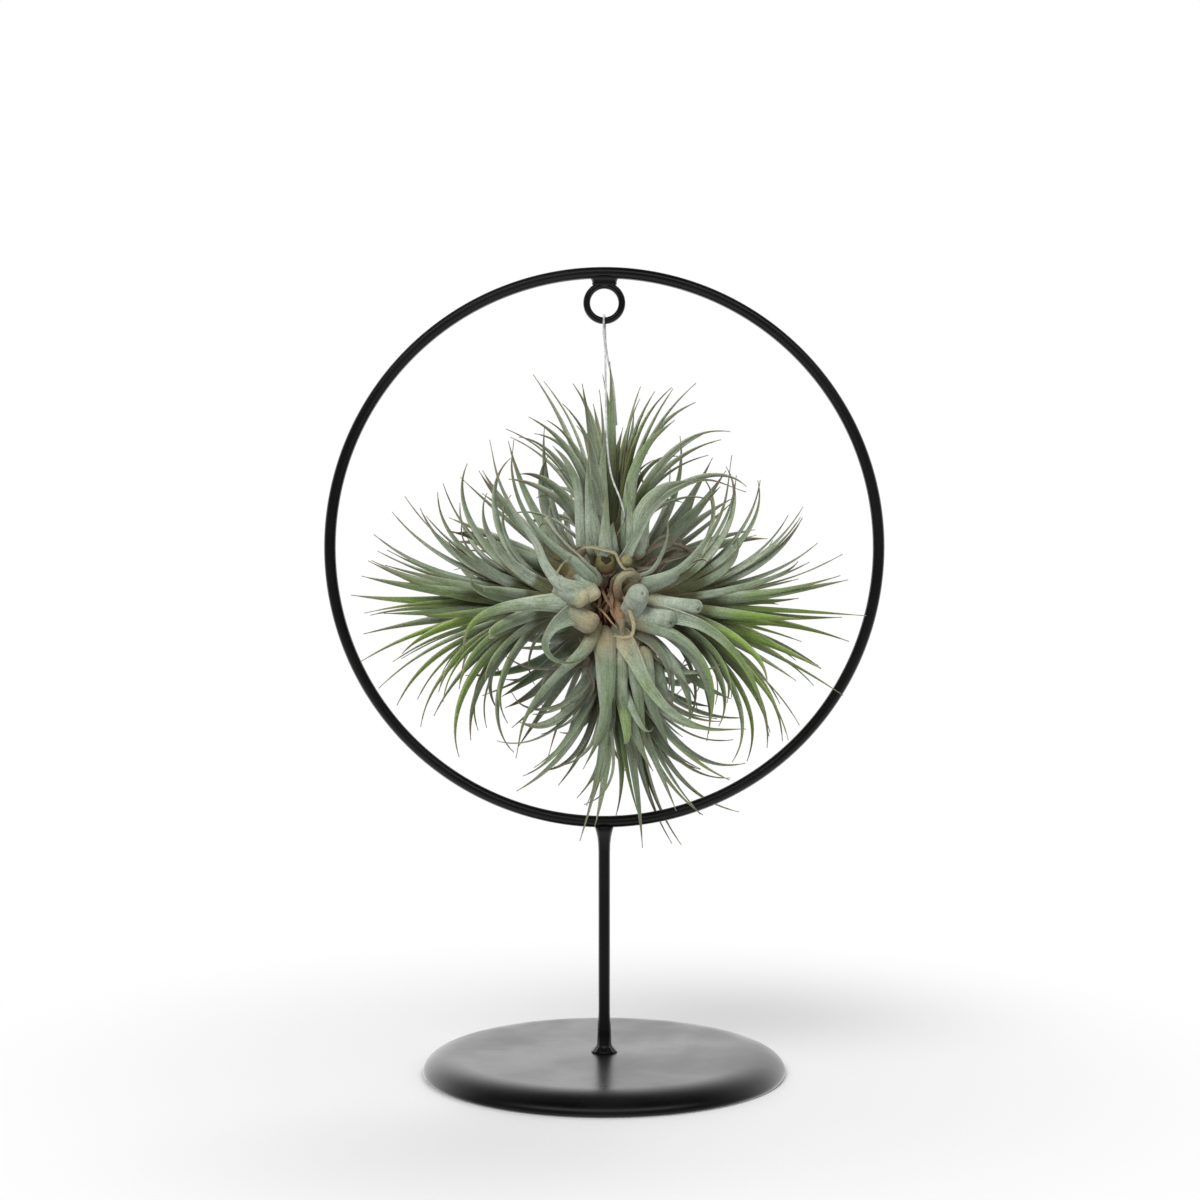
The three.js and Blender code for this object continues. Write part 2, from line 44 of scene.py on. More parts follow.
# Stand
HEIGHT = 288.0
HOOP_OUTER = 200.0
ROD = 4.2  # diameter of the hoop's and stem's rod
FOOT_DIAMETER = 130.0
FOOT_HEIGHT = 7.0
SHOULDER = 13.0  # width of the foot's rounded shoulder
FOOT_EDGE = 1.2  # height of the straight edge below it
EYE_OUTER = 15.0
EYE_ROD = 2.5
EYE_Z = 275.2  # middle of the eyelet
EYE_WELD_FLAT = 0.42  # thickness of the bead above it, as a share of the bead's width
STEM_COLLAR = 4.6  # radius of the weld at the stem's foot
STEM_FLARE = 3.3  # radius of the weld under the hoop
GAP = 0.3  # clearance between solids that touch
HOOP_Z = HEIGHT - HOOP_OUTER / 2
HOOP_RADIUS = (HOOP_OUTER - ROD) / 2
EYE_RADIUS = (EYE_OUTER - EYE_ROD) / 2

# Hanging line
LINE_DIAMETER = 0.7
LINE_POINTS = 240
LINE_ROUTE = [
    (4.4, 4.5, 232), (3.2, 3, 246), (1.4, 2, 255), (0.5, 1.1, 261), (0.35, 1.2, 265), (0.2, 2, 268.9),
    (0.1, 1.3, 270.6), (0, 0, 271.1), (-0.1, -1.3, 270.6), (-0.2, -2, 268.9), (-0.3, -1.6, 265),
    (0.2, -2.4, 260), (0.6, -8, 238), (1.2, -15, 222), (2.6, -21, 213), (5.4, -25.5, 205.5), (6.8, -25, 200),
    (5.8, -21.5, 195.5), (4, -17.5, 192), (2.5, -14.5, 190),
]

# Plant
CLUMP = np.array([0.0, -18.0, 170.0])  # middle of the crown
CORE_RADIUS = 6.5  # half the thickness of a rosette's stem
FOOT = 3.8  # how far a leaf is rooted from its rosette's axis
TAPER = 1.7  # how long a rosette's leaf stays broad
CROWN_TAPER = 1.2  # the same for the crown's own leaves
SHEATH_SHARE = 0.22  # share of a leaf's length over which its sheath narrows to the blade
CROWN_CLEAR_FROM = 3  # the step from which the crown's leaves keep clear of a rosette's stem
SMALL_STEP = 1e-4  # share of a leaf's length over which its heading is measured
GOLDEN_ANGLE = 137.508
LEAF_STEPS = 20  # steps along a leaf in tests of clearance
LEAF_RINGS = [0, 4, 9, 14, LEAF_STEPS]  # the steps at which a leaf's solid has a ring or its tip
ROD_BALLS = 8  # balls that stand for a straight piece in these tests
HOOP_CLEAR = 1.2  # distance kept from the hoop
CLEAR = 0.8  # distance kept between leaves of different rosettes
TRIES = 36  # how often a leaf may be bent aside to keep that distance
FINE_WIDTH = 0.6  # width of a fine leaf, as a share of a filling leaf's

# The way a rosette's axis points, how far from the crown it starts, its longest leaf, how many leaves fill
# it, how many fine ones without solids, how far they spread, its seed, and its outer leaves' tips and bends
Rosette = namedtuple("Rosette", "axis start reach fill fine spread seed tips")
ROSETTES = {
    "rosette_up": Rosette((0.05, 0.3, 1), 13, 70, 23, 16, 60, 3, [
        (3, 16, 84, 6), (-11, 6, 76, 30), (-20, 2, 63, 38), (-25, 20, 59, 42), (18, 20, 74, 16),
        (26, 10, 77, 26), (35, 8, 72, 32), (42, 16, 60, 46), (50, 8, 40, 58), (27, 26, 51, 44),
        (-8, 4, 60, 10), (9, 6, 60, 12), (-18, 16, 46, 50), (-24, 12, 36, 60), (14, 30, 66, 14),
        (-4, 30, 70, 10), (20, 2, 48, 40), (13, 24, 76, 10),
    ]),
    "rosette_left": Rosette((-1, 0.24, -0.03), 13, 74, 27, 22, 60, 5, [
        (-59, 12, 38, 40), (-48, 4, 48, 48), (-41, 16, 52, 50), (-33, 8, 50, 54), (-75, 10, 31, 22),
        (-82, 16, 23, 16), (-90, 14, 1.5, 8), (-82, 6, 14, 14), (-84, 22, -6, 10), (-85, 8, -12, 12),
        (-77, 16, -38, 24), (-81, 20, -19, 14), (-65, 8, -45, 34), (-51, 2, -55, 42), (-45, 16, -47, 44),
        (-32, 8, -54, 52), (-70, -6, 8, 18), (-58, 0, -32, 34),
    ]),
    "rosette_right": Rosette((1, 0.24, -0.08), 13, 74, 27, 22, 60, 7, [
        (70, 10, 29, 26), (76, 16, 20, 18), (76, 8, 6, 10), (87, 14, -15, 10), (75, 18, -31, 18),
        (63, 8, -50, 34), (58, 14, -53, 36), (45, 4, -57, 50), (46, -4, 22, 56), (45, 8, 49, 50),
        (35, 14, 43, 52), (68, -4, -23, 24), (50, 18, 43, 48), (62, -10, -8, 20), (70, 24, 0, 12),
        (51, 16, -58, 44), (40, 0, -44, 48),
    ]),
    "rosette_down": Rosette((0.16, 0.24, -1), 14, 70, 25, 16, 58, 9, [
        (5, 20, -78, 16), (-6, 24, -74, 26), (-6, 8, -66, 30), (-22, 12, -61, 46), (23, 26, -88, 12),
        (28, 30, -90, 14), (49, 30, -78, 30), (45, 16, -64, 42), (50, 10, -58, 46), (20, 6, -61, 12),
        (12, 0, -58, 14), (-16, 20, -48, 52), (34, 8, -60, 34), (-30, 16, -44, 58),
    ]),
    "rosette_back_left": Rosette((-0.62, 0.85, 0.5), 14, 62, 21, 8, 64, 11, [
        (-44, 30, 46, 30), (-56, 34, 20, 30),
    ]),
    "rosette_back_right": Rosette((0.62, 0.85, 0.5), 14, 62, 21, 8, 64, 13, [
        (44, 30, 46, 30), (34, 40, 40, 30),
    ]),
    "rosette_back_low": Rosette((-0.15, 0.9, -0.62), 14, 62, 22, 8, 66, 17, [
        (-36, 30, -40, 50), (-36, 34, -30, 50), (40, 34, -40, 40),
    ]),
}

# The crown's own leaves: width, the side that the channel faces (1 is the front), and places from root to
# tip, from the middle of the crown
CROWN_SEED = 1
CROWN_LEAVES = [
    (7.6, -1, [(-4.2, -6, 0.4), (-9, -12, 3.3), (-15.2, -15, 6.5), (-20, -15, 12.3), (-23.5, -14, 20.3),
     (-30.4, -12, 29.9), (-36.4, -10, 42), (-39.6, -8, 55.9)]),
    (6.6, -1, [(-1.4, -6, 3.2), (-4.5, -11, 8.5), (-9.7, -13, 13.4), (-15.9, -13, 17.8), (-22.8, -12, 24.4),
     (-28.7, -11, 33.4), (-31.9, -10, 45.5), (-31.2, -9, 55.9)]),
    (7.4, -1, [(-5.6, -5, -0.7), (-14.6, -12, -0.1), (-25.5, -15, -0.4), (-35.8, -16, -2.1),
     (-43.3, -17, -5.5), (-47.1, -18, -10.2), (-48.4, -19, -17.1)]),
    (8, 1, [(-4.2, -6, -3.1), (-11.8, -13, -4.6), (-17.6, -16, -8.6), (-20.3, -17, -14.1),
     (-18.3, -17, -18.6), (-12.8, -16, -20.7), (-5.9, -14, -19.1)]),
    (5, -1, [(-1.4, -4, -7), (-6.6, -11, -16.1), (-14.6, -13, -23.6), (-22.1, -14, -31.5),
     (-27.6, -15, -40.8), (-30.4, -16, -53.5)]),
    (7, -1, [(0, -4, -8.5), (0.7, -11, -18.5), (1.3, -13, -28.8), (-0.1, -14, -39.1), (-2.8, -15, -48.4),
     (-7.3, -16, -57.2)]),
    (6.6, 1, [(3.5, -4, -8), (9.7, -11, -18.5), (15.2, -13, -28.8), (23.4, -15, -38), (34.7, -16, -43.1),
     (48.5, -17, -43.3)]),
    (5.6, -1, [(6, -4, -5), (17.6, -11, -8.8), (26.9, -13, -13.2), (33.8, -14, -20.8), (37.2, -15, -31.1),
     (35.1, -16, -47.6)]),
    (6.2, 1, [(7, -3.5, -3), (22.8, -11, -4.7), (34.8, -13, -8.7), (45.1, -14, -17.7), (52.4, -15, -30.4),
     (56.5, -16, -45.9)]),
    (5.4, -1, [(6.5, -3.5, 3.5), (17.6, -10, 7.1), (26.2, -12, 11.6), (34.1, -13, 20.2), (40.6, -14, 32.3),
     (43.6, -15, 50.5)]),
    (4.6, 1, [(3.8, -3.5, 8), (5.6, -8, 12.2), (10.5, -9.5, 21.3), (16, -11, 31), (24.5, -12, 38.5),
     (34.8, -13, 42), (48.5, -14, 37.8)]),
    (6.6, -1, [(0.5, -4, 8.5), (0.3, -9, 13.6), (0.2, -12, 20.6), (0.4, -13, 29.9), (0.8, -12, 39.6)]),
]
# The share of its width that each loses beyond its sheath
CROWN_SLIM = (0.40, 0.42, 0.24, 0.52, 0.20, 0.14, 0.22, 0.20, 0.26, 0.34, 0.24, 0.0)
CROWN_CREAM = 0.14  # share of its length that is cream on a crown leaf
LOW_CREAM = 0.12  # and how much more of it on one that hangs
ROOT_SHIFT = (-2.4, 0.0, 1.8)  # moves the second crown leaf's root off the hollow

STUBS = [  # both ends and radius
    ((6.2, -6, -3.1), (10.9, -16, 3.8), 4.2),
    ((9, -5, -4.5), (24.5, -13, -7), 3.6),
    ((12.5, -4, 0.3), (33.9, -11, -2.2), 2.8),
    ((11.2, -3, 3.8), (25.6, -10, 10.2), 2.7),
]


def seeded(seed):
    """A row of random numbers from 0 to 1 that is the same each time."""
    state = [seed * 7919 + 12345]

    def draw():
        state[0] = (state[0] * 1664525 + 1013904223) % 4294967296
        return state[0] / 4294967296

    return draw


def unit(v):
    return v / np.linalg.norm(v)


def unit_rows(v):
    return v / np.linalg.norm(v, axis=1, keepdims=True)


# Growing the clump

def directions(axis):
    """The ways along a rosette's axis, across it on its front side, and across both."""
    along = unit(np.array(axis, float))
    front = np.array([0.0, -1.0, 0.0])
    first = unit(front - front.dot(along) * along)
    return along, first, np.cross(along, first)


def between(along, outward, angle):
    return along * math.cos(angle) + outward * math.sin(angle)


def width_at(t, width, taper):
    blade = 1 - np.maximum(0, (t - 0.15) / 0.85) ** taper
    sheath = 1 + 0.45 * np.maximum(0, 1 - t / SHEATH_SHARE)
    return width * blade * sheath


def bent_curve(leaf):
    """A leaf that leaves its rosette's axis and bends over: its places at shares t, and the way to its
    side."""
    along, bend = leaf["along"], leaf["bend"]
    drift = leaf["drift"] + leaf["sway"]
    root = CLUMP + leaf["root"]
    tip = CLUMP + leaf["tip"] + leaf["shift"]
    outward = tip - root
    outward = unit(outward - outward.dot(along) * along)
    root = root + outward * FOOT
    chord = tip - root
    length = np.linalg.norm(chord)
    theta = math.degrees(math.acos(np.clip(chord.dot(along) / length, -1, 1)))
    leave = math.radians(max(theta - bend, 0.25 * theta))
    arrive = math.radians(theta + 1.3 * bend)
    side = np.cross(along, outward)
    near_root = root + between(along, outward, leave) * (0.38 * length) + side * (drift * 0.5)
    near_tip = tip - between(along, outward, arrive) * (0.36 * length) + side * drift

    def places(t):
        u = t[:, None]
        rooted = (1 - u) ** 3 * root + 3 * (1 - u) ** 2 * u * near_root
        return rooted + 3 * (1 - u) * u * u * near_tip + u ** 3 * tip

    return places, lambda heading: side


def curve_through(points, t):
    """Places at shares t of a centripetal Catmull-Rom curve. Each gap between points has the same share."""
    points = np.asarray(points, float)
    p = np.vstack([2 * points[0] - points[1], points, 2 * points[-1] - points[-2]])
    place = np.clip(t, 0, 1) * (len(points) - 1)
    k = np.minimum(place.astype(int), len(points) - 2)
    w = (place - k)[:, None]
    a, b, c, d = p[k], p[k + 1], p[k + 2], p[k + 3]
    ab, bc, cd = (np.linalg.norm(f - e, axis=1, keepdims=True) ** 0.5 for e, f in ((a, b), (b, c), (c, d)))
    leave = ((b - a) / ab - (c - a) / (ab + bc) + (c - b) / bc) * bc
    arrive = ((c - b) / bc - (d - b) / (bc + cd) + (d - c) / cd) * bc
    square = -3 * b + 3 * c - 2 * leave - arrive
    cube = 2 * b - 2 * c + leave + arrive
    return b + leave * w + square * w ** 2 + cube * w ** 3


def listed_curve(leaf):
    """The same for one of the crown's leaves."""
    share = np.arange(len(leaf["path"])) / (len(leaf["path"]) - 1)
    points = CLUMP + leaf["path"] + share[:, None] ** 2 * leaf["shift"]
    front = np.array([0.0, -leaf["front"], 0.0])
    return lambda t: curve_through(points, t), lambda heading: unit_rows(np.cross(front, heading))


def leaf_line(leaf, steps=LEAF_STEPS):
    """Rows along a leaf: share of its length, place, way across the blade, way its channel faces, width."""
    t = np.arange(steps + 1) / steps
    places, side_of = listed_curve(leaf) if "path" in leaf else bent_curve(leaf)
    heading = unit_rows(places(np.minimum(t + SMALL_STEP, 1)) - places(np.maximum(t - SMALL_STEP, 0)))
    side = side_of(heading)
    across = unit_rows(side - np.sum(heading * side, axis=1, keepdims=True) * heading)
    up = np.cross(heading, across)
    twist = (math.radians(leaf["twist"]) * t ** 1.5)[:, None]
    return {
        "t": t,
        "at": places(t),
        "across": across * np.cos(twist) + up * np.sin(twist),
        "up": up * np.cos(twist) - across * np.sin(twist),
        "width": width_at(t, leaf["width"], leaf["taper"]),
    }


def listed_leaf(rosette, entry, random):
    along = directions(rosette.axis)[0]
    rise = 2 + 4 * random()
    return {
        "along": along, "bend": entry[3], "root": along * (rosette.start + rise),
        "tip": np.array(entry[:3], float), "drift": 4 * (random() - 0.5),
        "twist": 50 * (random() - 0.5), "width": 5 + 1.2 * random(), "taper": TAPER, "clear_from": 0,
    }


def filling_leaf(rosette, entry, random):
    i, age = entry
    along, first, second = directions(rosette.axis)
    azimuth = math.radians(i * GOLDEN_ANGLE + 30 * (random() - 0.5))
    theta = math.radians(8 + rosette.spread * age ** 0.8 + 10 * (random() - 0.5))
    length = rosette.reach * (1 - 0.4 * age * age) * (0.78 + 0.22 * random())
    tip = along * (rosette.start + 6 * (1 - age) + length * math.cos(theta))
    tip = tip + between(first, second, azimuth) * (2.5 + length * math.sin(theta))
    return {
        "along": along, "tip": tip, "root": along * (rosette.start + 10 * (1 - age)),
        "bend": 6 + 46 * age * (0.6 + 0.6 * random()), "drift": 8 * (random() - 0.5),
        "twist": 60 * (random() - 0.5), "width": (4 + 2 * age) * (0.9 + 0.2 * random()),
        "taper": TAPER, "clear_from": 0,
    }


def fine_leaf(rosette, entry, random):
    leaf = filling_leaf(rosette, entry, random)
    return {**leaf, "width": leaf["width"] * FINE_WIDTH}


def ages(count):
    """The number of each filling leaf from the innermost one, and its age from 0 to 1."""
    return [(i, (i + 1) / count) for i in range(count)]


def crown_leaf(entry, slim, random):
    width, front, path = entry
    drop = max(0.0, -unit(np.array(path[2]) - path[0])[2])
    return {
        "path": np.array(path, float), "front": front, "width": width, "twist": 20 * (random() - 0.5),
        "taper": CROWN_TAPER, "clear_from": CROWN_CLEAR_FROM, "slim": slim, "round_root": True,
        "cream": CROWN_CREAM + LOW_CREAM * drop,
    }


def leaf_balls(line, first):
    """The balls that stand for a leaf in tests of clearance, as rows of x, y, z and radius."""
    middles = []
    for k in range(first, LEAF_STEPS + 1):
        following = max(1, next(n for n, ring in enumerate(LEAF_RINGS) if ring >= k))
        a, b = LEAF_RINGS[following - 1], LEAF_RINGS[following]
        middles.append(line["at"][a] + (line["at"][b] - line["at"][a]) * ((k - a) / (b - a)))
    middles = np.array(middles)
    across, width = line["across"][first:], line["width"][first:]
    radii = np.maximum(0.2 * width, 0.9)
    rows = [middles + across * (side * width / 3)[:, None] for side in (-1, 0, 1)]
    return np.hstack([np.vstack(rows), np.tile(radii, 3)[:, None]])


def rod_balls(start, end, radius):
    start, end = np.array(start, float), np.array(end, float)
    share = (np.arange(ROD_BALLS) / (ROD_BALLS - 1))[:, None]
    return np.hstack([start + (end - start) * share, np.full((ROD_BALLS, 1), float(radius))])


def touches_hoop(balls):
    from_ring = np.hypot(balls[:, 0], balls[:, 2] - HOOP_Z) - HOOP_RADIUS
    return bool(np.any(np.hypot(from_ring, balls[:, 1]) < ROD / 2 + HOOP_CLEAR + balls[:, 3]))


def touches(balls, others):
    low = (balls[:, :3] - balls[:, 3:]).min(axis=0) - CLEAR
    high = (balls[:, :3] + balls[:, 3:]).max(axis=0) + CLEAR
    reach = others[:, 3:]
    near = others[np.all((others[:, :3] + reach >= low) & (others[:, :3] - reach <= high), axis=1)]
    if len(near) == 0:
        return False
    apart = np.linalg.norm(balls[:, None, :3] - near[None, :, :3], axis=2)
    return bool(np.any(apart < balls[:, None, 3] + near[None, :, 3] + CLEAR))


class Clump:
    """The leaves placed so far, and the balls of everything that grows from each middle."""

    def __init__(self):
        self.balls = {name: [] for name in ["crown", "line", *ROSETTES]}
        self.leaves = {name: [] for name in ["crown", *ROSETTES]}

    def place(self, owner, leaf, random):
        """Places a leaf, bent aside until it is clear. One that never is gets left out."""
        others = np.vstack([b for name, rows in self.balls.items() if name != owner for b in rows])
        leaf["shift"], leaf["sway"] = np.zeros(3), 0.0
        for k in range(TRIES):
            balls = leaf_balls(leaf_line(leaf), leaf["clear_from"])
            if not touches_hoop(balls) and not touches(balls, others):
                self.balls[owner].append(balls)
                self.leaves[owner].append(leaf)
                return
            shift = 3 + 0.5 * k
            x = shift * (random() - 0.5)
            y = 2.2 * shift * (random() - 0.4)
            z = shift * (random() - 0.5)
            leaf["shift"] = np.array([x, y, z])
            leaf["sway"] = 0.5 * shift * (random() - 0.5)

    def fill(self, seed_shift, leaf_of, entries_of):
        for name, rosette in ROSETTES.items():
            random = seeded(rosette.seed + seed_shift)
            for entry in entries_of(rosette):
                self.place(name, leaf_of(rosette, entry, random), random)

    def grow(self):
        for a, b in list(zip(LINE_ROUTE, LINE_ROUTE[1:]))[:-1]:
            self.balls["line"].append(rod_balls(a, b, 0.6))
        up = np.array([0, 0, 3.0])
        self.balls["crown"].append(rod_balls(CLUMP - up, CLUMP + up, 8))
        for name, rosette in ROSETTES.items():
            along = directions(rosette.axis)[0]
            ends = [CLUMP + along * (rosette.start + d) for d in (-1, 8)]
            self.balls[name].append(rod_balls(*ends, CORE_RADIUS))
        for start, end, radius in STUBS:
            self.balls["crown"].append(rod_balls(CLUMP + start, CLUMP + end, radius))
        random = seeded(CROWN_SEED)
        for entry, slim in zip(CROWN_LEAVES, CROWN_SLIM):
            self.place("crown", crown_leaf(entry, slim, random), random)
        self.fill(0, listed_leaf, lambda rosette: rosette.tips)
        self.fill(100, filling_leaf, lambda rosette: ages(rosette.fill))
        self.fill(200, fine_leaf, lambda rosette: ages(rosette.fine))


clump = Clump()
clump.grow()
clump.leaves["crown"][1]["path"][0] += ROOT_SHIFT


# Meshes

def add_piece(name, positions, faces, material, attributes, replaces=None):
    """A smooth mesh piece from millimetre positions, with float attributes on its points."""
    mesh = bpy.data.meshes.new(name)
    mesh.from_pydata((np.asarray(positions, float) * MM).tolist(), [], faces)
    for key, values in attributes.items():
        layer = mesh.attributes.new(key, "FLOAT", "POINT")
        layer.data.foreach_set("value", np.asarray(values, np.float32))
    mesh.shade_smooth()
    mesh.materials.append(material)
    piece = bpy.data.objects.new(name, mesh)
    bpy.context.scene.collection.objects.link(piece)
    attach(piece, "root")
    if replaces:
        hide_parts(replaces)


def tube_faces(rings, around, first=0, closed=False):
    """Quads between rings of points that run counter-clockwise seen from the last one."""
    faces = []
    for r in range(rings if closed else rings - 1):
        a, b = first + r * around, first + ((r + 1) % rings) * around
        for k in range(around):
            n = (k + 1) % around
            faces.append((a + k, a + n, b + n, b + k))
    return faces


def capped_tube(rings, around, first=0):
    last = first + (rings - 1) * around
    caps = [tuple(range(first + around - 1, first - 1, -1)), tuple(range(last, last + around))]
    return tube_faces(rings, around, first) + caps


def turned(profile, around, wobble=lambda angle, z: 0.0):
    """A surface turned about the Z axis, from (radius, z) pairs that run outwards and up from its bottom."""
    angle = np.arange(around) * 2 * math.pi / around
    rings = []
    for radius, z in profile:
        out = radius + wobble(angle, z)
        rings.append(np.stack([out * np.cos(angle), out * np.sin(angle), np.full(around, float(z))], axis=1))
    return np.vstack(rings), capped_tube(len(profile), around)


def ring_rod(radius, rod, z, around, across):
    """A rod bent to a ring in the XZ plane."""
    turn = np.repeat(np.arange(around) * 2 * math.pi / around, across)
    roll = np.tile(np.arange(across) * 2 * math.pi / across, around)
    out = radius + rod / 2 * np.cos(roll)
    positions = np.stack([out * np.sin(turn), rod / 2 * np.sin(roll), z + out * np.cos(turn)], axis=1)
    return positions, tube_faces(around, across, closed=True)


def ring_grid(steps, around):
    """For points in rings along a shape: their share of the way along it, and their angle round it."""
    share = np.repeat(np.arange(steps + 1) / steps, around)
    turn = np.tile(np.arange(around) * 2 * math.pi / around, steps + 1)
    return share[:, None], turn[:, None]


WAVES = 7  # how many waves make a surface uneven


def waves(seed):
    """A smooth uneven function of rows of directions, about -1 to 1."""
    random = seeded(seed)
    rows = []
    for _ in range(WAVES):
        way = unit(np.array([random() - 0.5 for _ in range(3)]))
        rows.append((way, 2 + 6 * random(), 6.28 * random()))
    return lambda ways: sum(np.sin(2.2 * pace * ways.dot(w) + start) for w, pace, start in rows)[:, None] / 3


def lumpy(sizes, middle, axis, amount, seed, around, down):
    """An uneven ellipsoid. Its half sizes are to the front, across, and along its axis."""
    along, first, second = directions(axis)
    polar, turn = ring_grid(down, around)
    polar = polar * math.pi
    ways = np.hstack([np.sin(polar) * np.cos(turn), np.sin(polar) * np.sin(turn), -np.cos(polar)])
    local = ways * sizes * (1 + amount * waves(seed)(ways))
    return middle + local.dot(np.array([first, second, along])), tube_faces(down + 1, around)


# Materials

HOLLOW_MIDDLE = np.array([1.5, 0.0, -1.0])  # of the hollow in the crown's front, from the crown's middle
STAIN_PLACE = tuple((CLUMP + HOLLOW_MIDDLE + (0, -8, 0)) * MM)  # dried strips near this are stained red
STAIN_FADE = (0.005, 0.011)  # metres from there between which the stain fades
BUD_OPENING = 0.91  # share of an olive bud's length beyond which it is open and dark


class Nodes:
    """A node tree. add() makes a node and sets its inputs from numbers, colours or other nodes' outputs."""

    def __init__(self, tree):
        self.tree = tree

    def put(self, socket, value):
        if isinstance(value, bpy.types.NodeSocket):
            self.tree.links.new(value, socket)
        elif isinstance(value, tuple) and len(value) == 3 and socket.type == "RGBA":
            socket.default_value = (*value, 1)
        else:
            socket.default_value = value

    def add(self, kind, inputs=(), output=0, **settings):
        node = self.tree.nodes.new("ShaderNode" + kind)
        for key, value in settings.items():
            setattr(node, key, value)
        for key, value in dict(inputs).items():
            self.put(node.inputs[key], value)
        return node.outputs[output]

    def attributes(self, *names):
        return [self.add("Attribute", output="Fac", attribute_name=name) for name in names]

    def place(self):
        return self.add("TexCoord", output="Object")

    def stretched(self, vector, x, y, z):
        return self.add("VectorMath", {0: vector, 1: (x, y, z)}, operation="MULTIPLY")

    def distance(self, vector, other):
        return self.add("VectorMath", {0: vector, 1: other}, output="Value", operation="DISTANCE")

    def noise(self, vector, scale, detail=2.0, rough=0.5):
        return self.add("TexNoise", {"Vector": vector, "Scale": scale, "Detail": detail, "Roughness": rough})

    def ramp(self, value, low, high, start=0.0, end=1.0):
        inputs = {"Value": value, "From Min": low, "From Max": high, "To Min": start, "To Max": end}
        return self.add("MapRange", inputs, interpolation_type="SMOOTHSTEP")

    def maths(self, operation, a, b=0.0):
        return self.add("Math", {0: a, 1: b}, operation=operation)

    def times(self, a, b):
        return self.maths("MULTIPLY", a, b)

    def plus(self, a, b):
        return self.maths("ADD", a, b)

    def mix(self, share, a, b):
        return self.add("Mix", {0: share, 6: a, 7: b}, output=2, data_type="RGBA")

    def mix_numbers(self, share, a, b):
        return self.add("Mix", {0: share, 2: a, 3: b}, data_type="FLOAT")

    def tinted(self, colour, by):
        """A colour times another."""
        return self.add("Mix", {0: 1.0, 6: colour, 7: by}, output=2, data_type="RGBA", blend_type="MULTIPLY")

    def shaded(self, colour, factor):
        """A colour times a number."""
        return self.tinted(colour, self.add("CombineColor", {0: factor, 1: factor, 2: factor}))

    def bump(self, height, distance, strength, normal=None):
        inputs = {"Height": height, "Distance": distance, "Strength": strength}
        if normal is not None:
            inputs["Normal"] = normal
        return self.add("Bump", inputs)


class Surface(Nodes):
    """A material made of nodes."""

    def __init__(self, name):
        self.material = bpy.data.materials.new(name)
        self.material.use_nodes = True
        super().__init__(self.material.node_tree)
        self.shader = self.tree.nodes["Principled BSDF"]

    def finish(self, **values):
        for key, value in values.items():
            self.put(self.shader.inputs[key.replace("_", " ")], value)
        return self.material


def paint_material():
    """Satin black paint with a faint orange peel, and duller where it has been handled."""
    s = Surface("satin_black_paint")
    place = s.place()
    peel = s.noise(place, 700.0, 3.0)
    cloud = s.noise(place, 26.0, 3.0, 0.55)
    specks = s.noise(place, 1500.0, 2.0, 0.6)
    colour = s.mix(s.ramp(cloud, 0.35, 0.7), (0.0018, 0.0018, 0.0019), (0.0042, 0.0042, 0.0043))
    colour = s.mix(s.ramp(specks, 0.70, 0.78, 0.0, 0.5), colour, (0.012, 0.012, 0.012))
    rough = s.ramp(cloud, 0.3, 0.75, 0.24, 0.36)
    normal = s.bump(peel, 0.00003, 0.15)
    return s.finish(Base_Color=colour, Roughness=rough, Specular_IOR_Level=0.5, Normal=normal)


def line_material():
    """Clear line that has gone a little milky."""
    s = Surface("clear_line")
    tone = s.ramp(s.noise(s.place(), 500.0), 0.3, 0.7)
    colour = s.mix(tone, (0.30, 0.31, 0.31), (0.52, 0.53, 0.52))
    return s.finish(Base_Color=colour, Roughness=0.3, Specular_IOR_Level=0.5)


# What the leaf material reads at a point: how far along and across the leaf it is, tint from dull to silvery,
# how fresh the green is, how dry the tip, the painted shade (deep) where the point is hidden among other
# leaves or inside a stub's pit, the share of the leaf that is cream, and how far it is a dried strip
LEAF_VALUES = ("along", "across", "tint", "young", "dry", "deep", "cream", "straw")


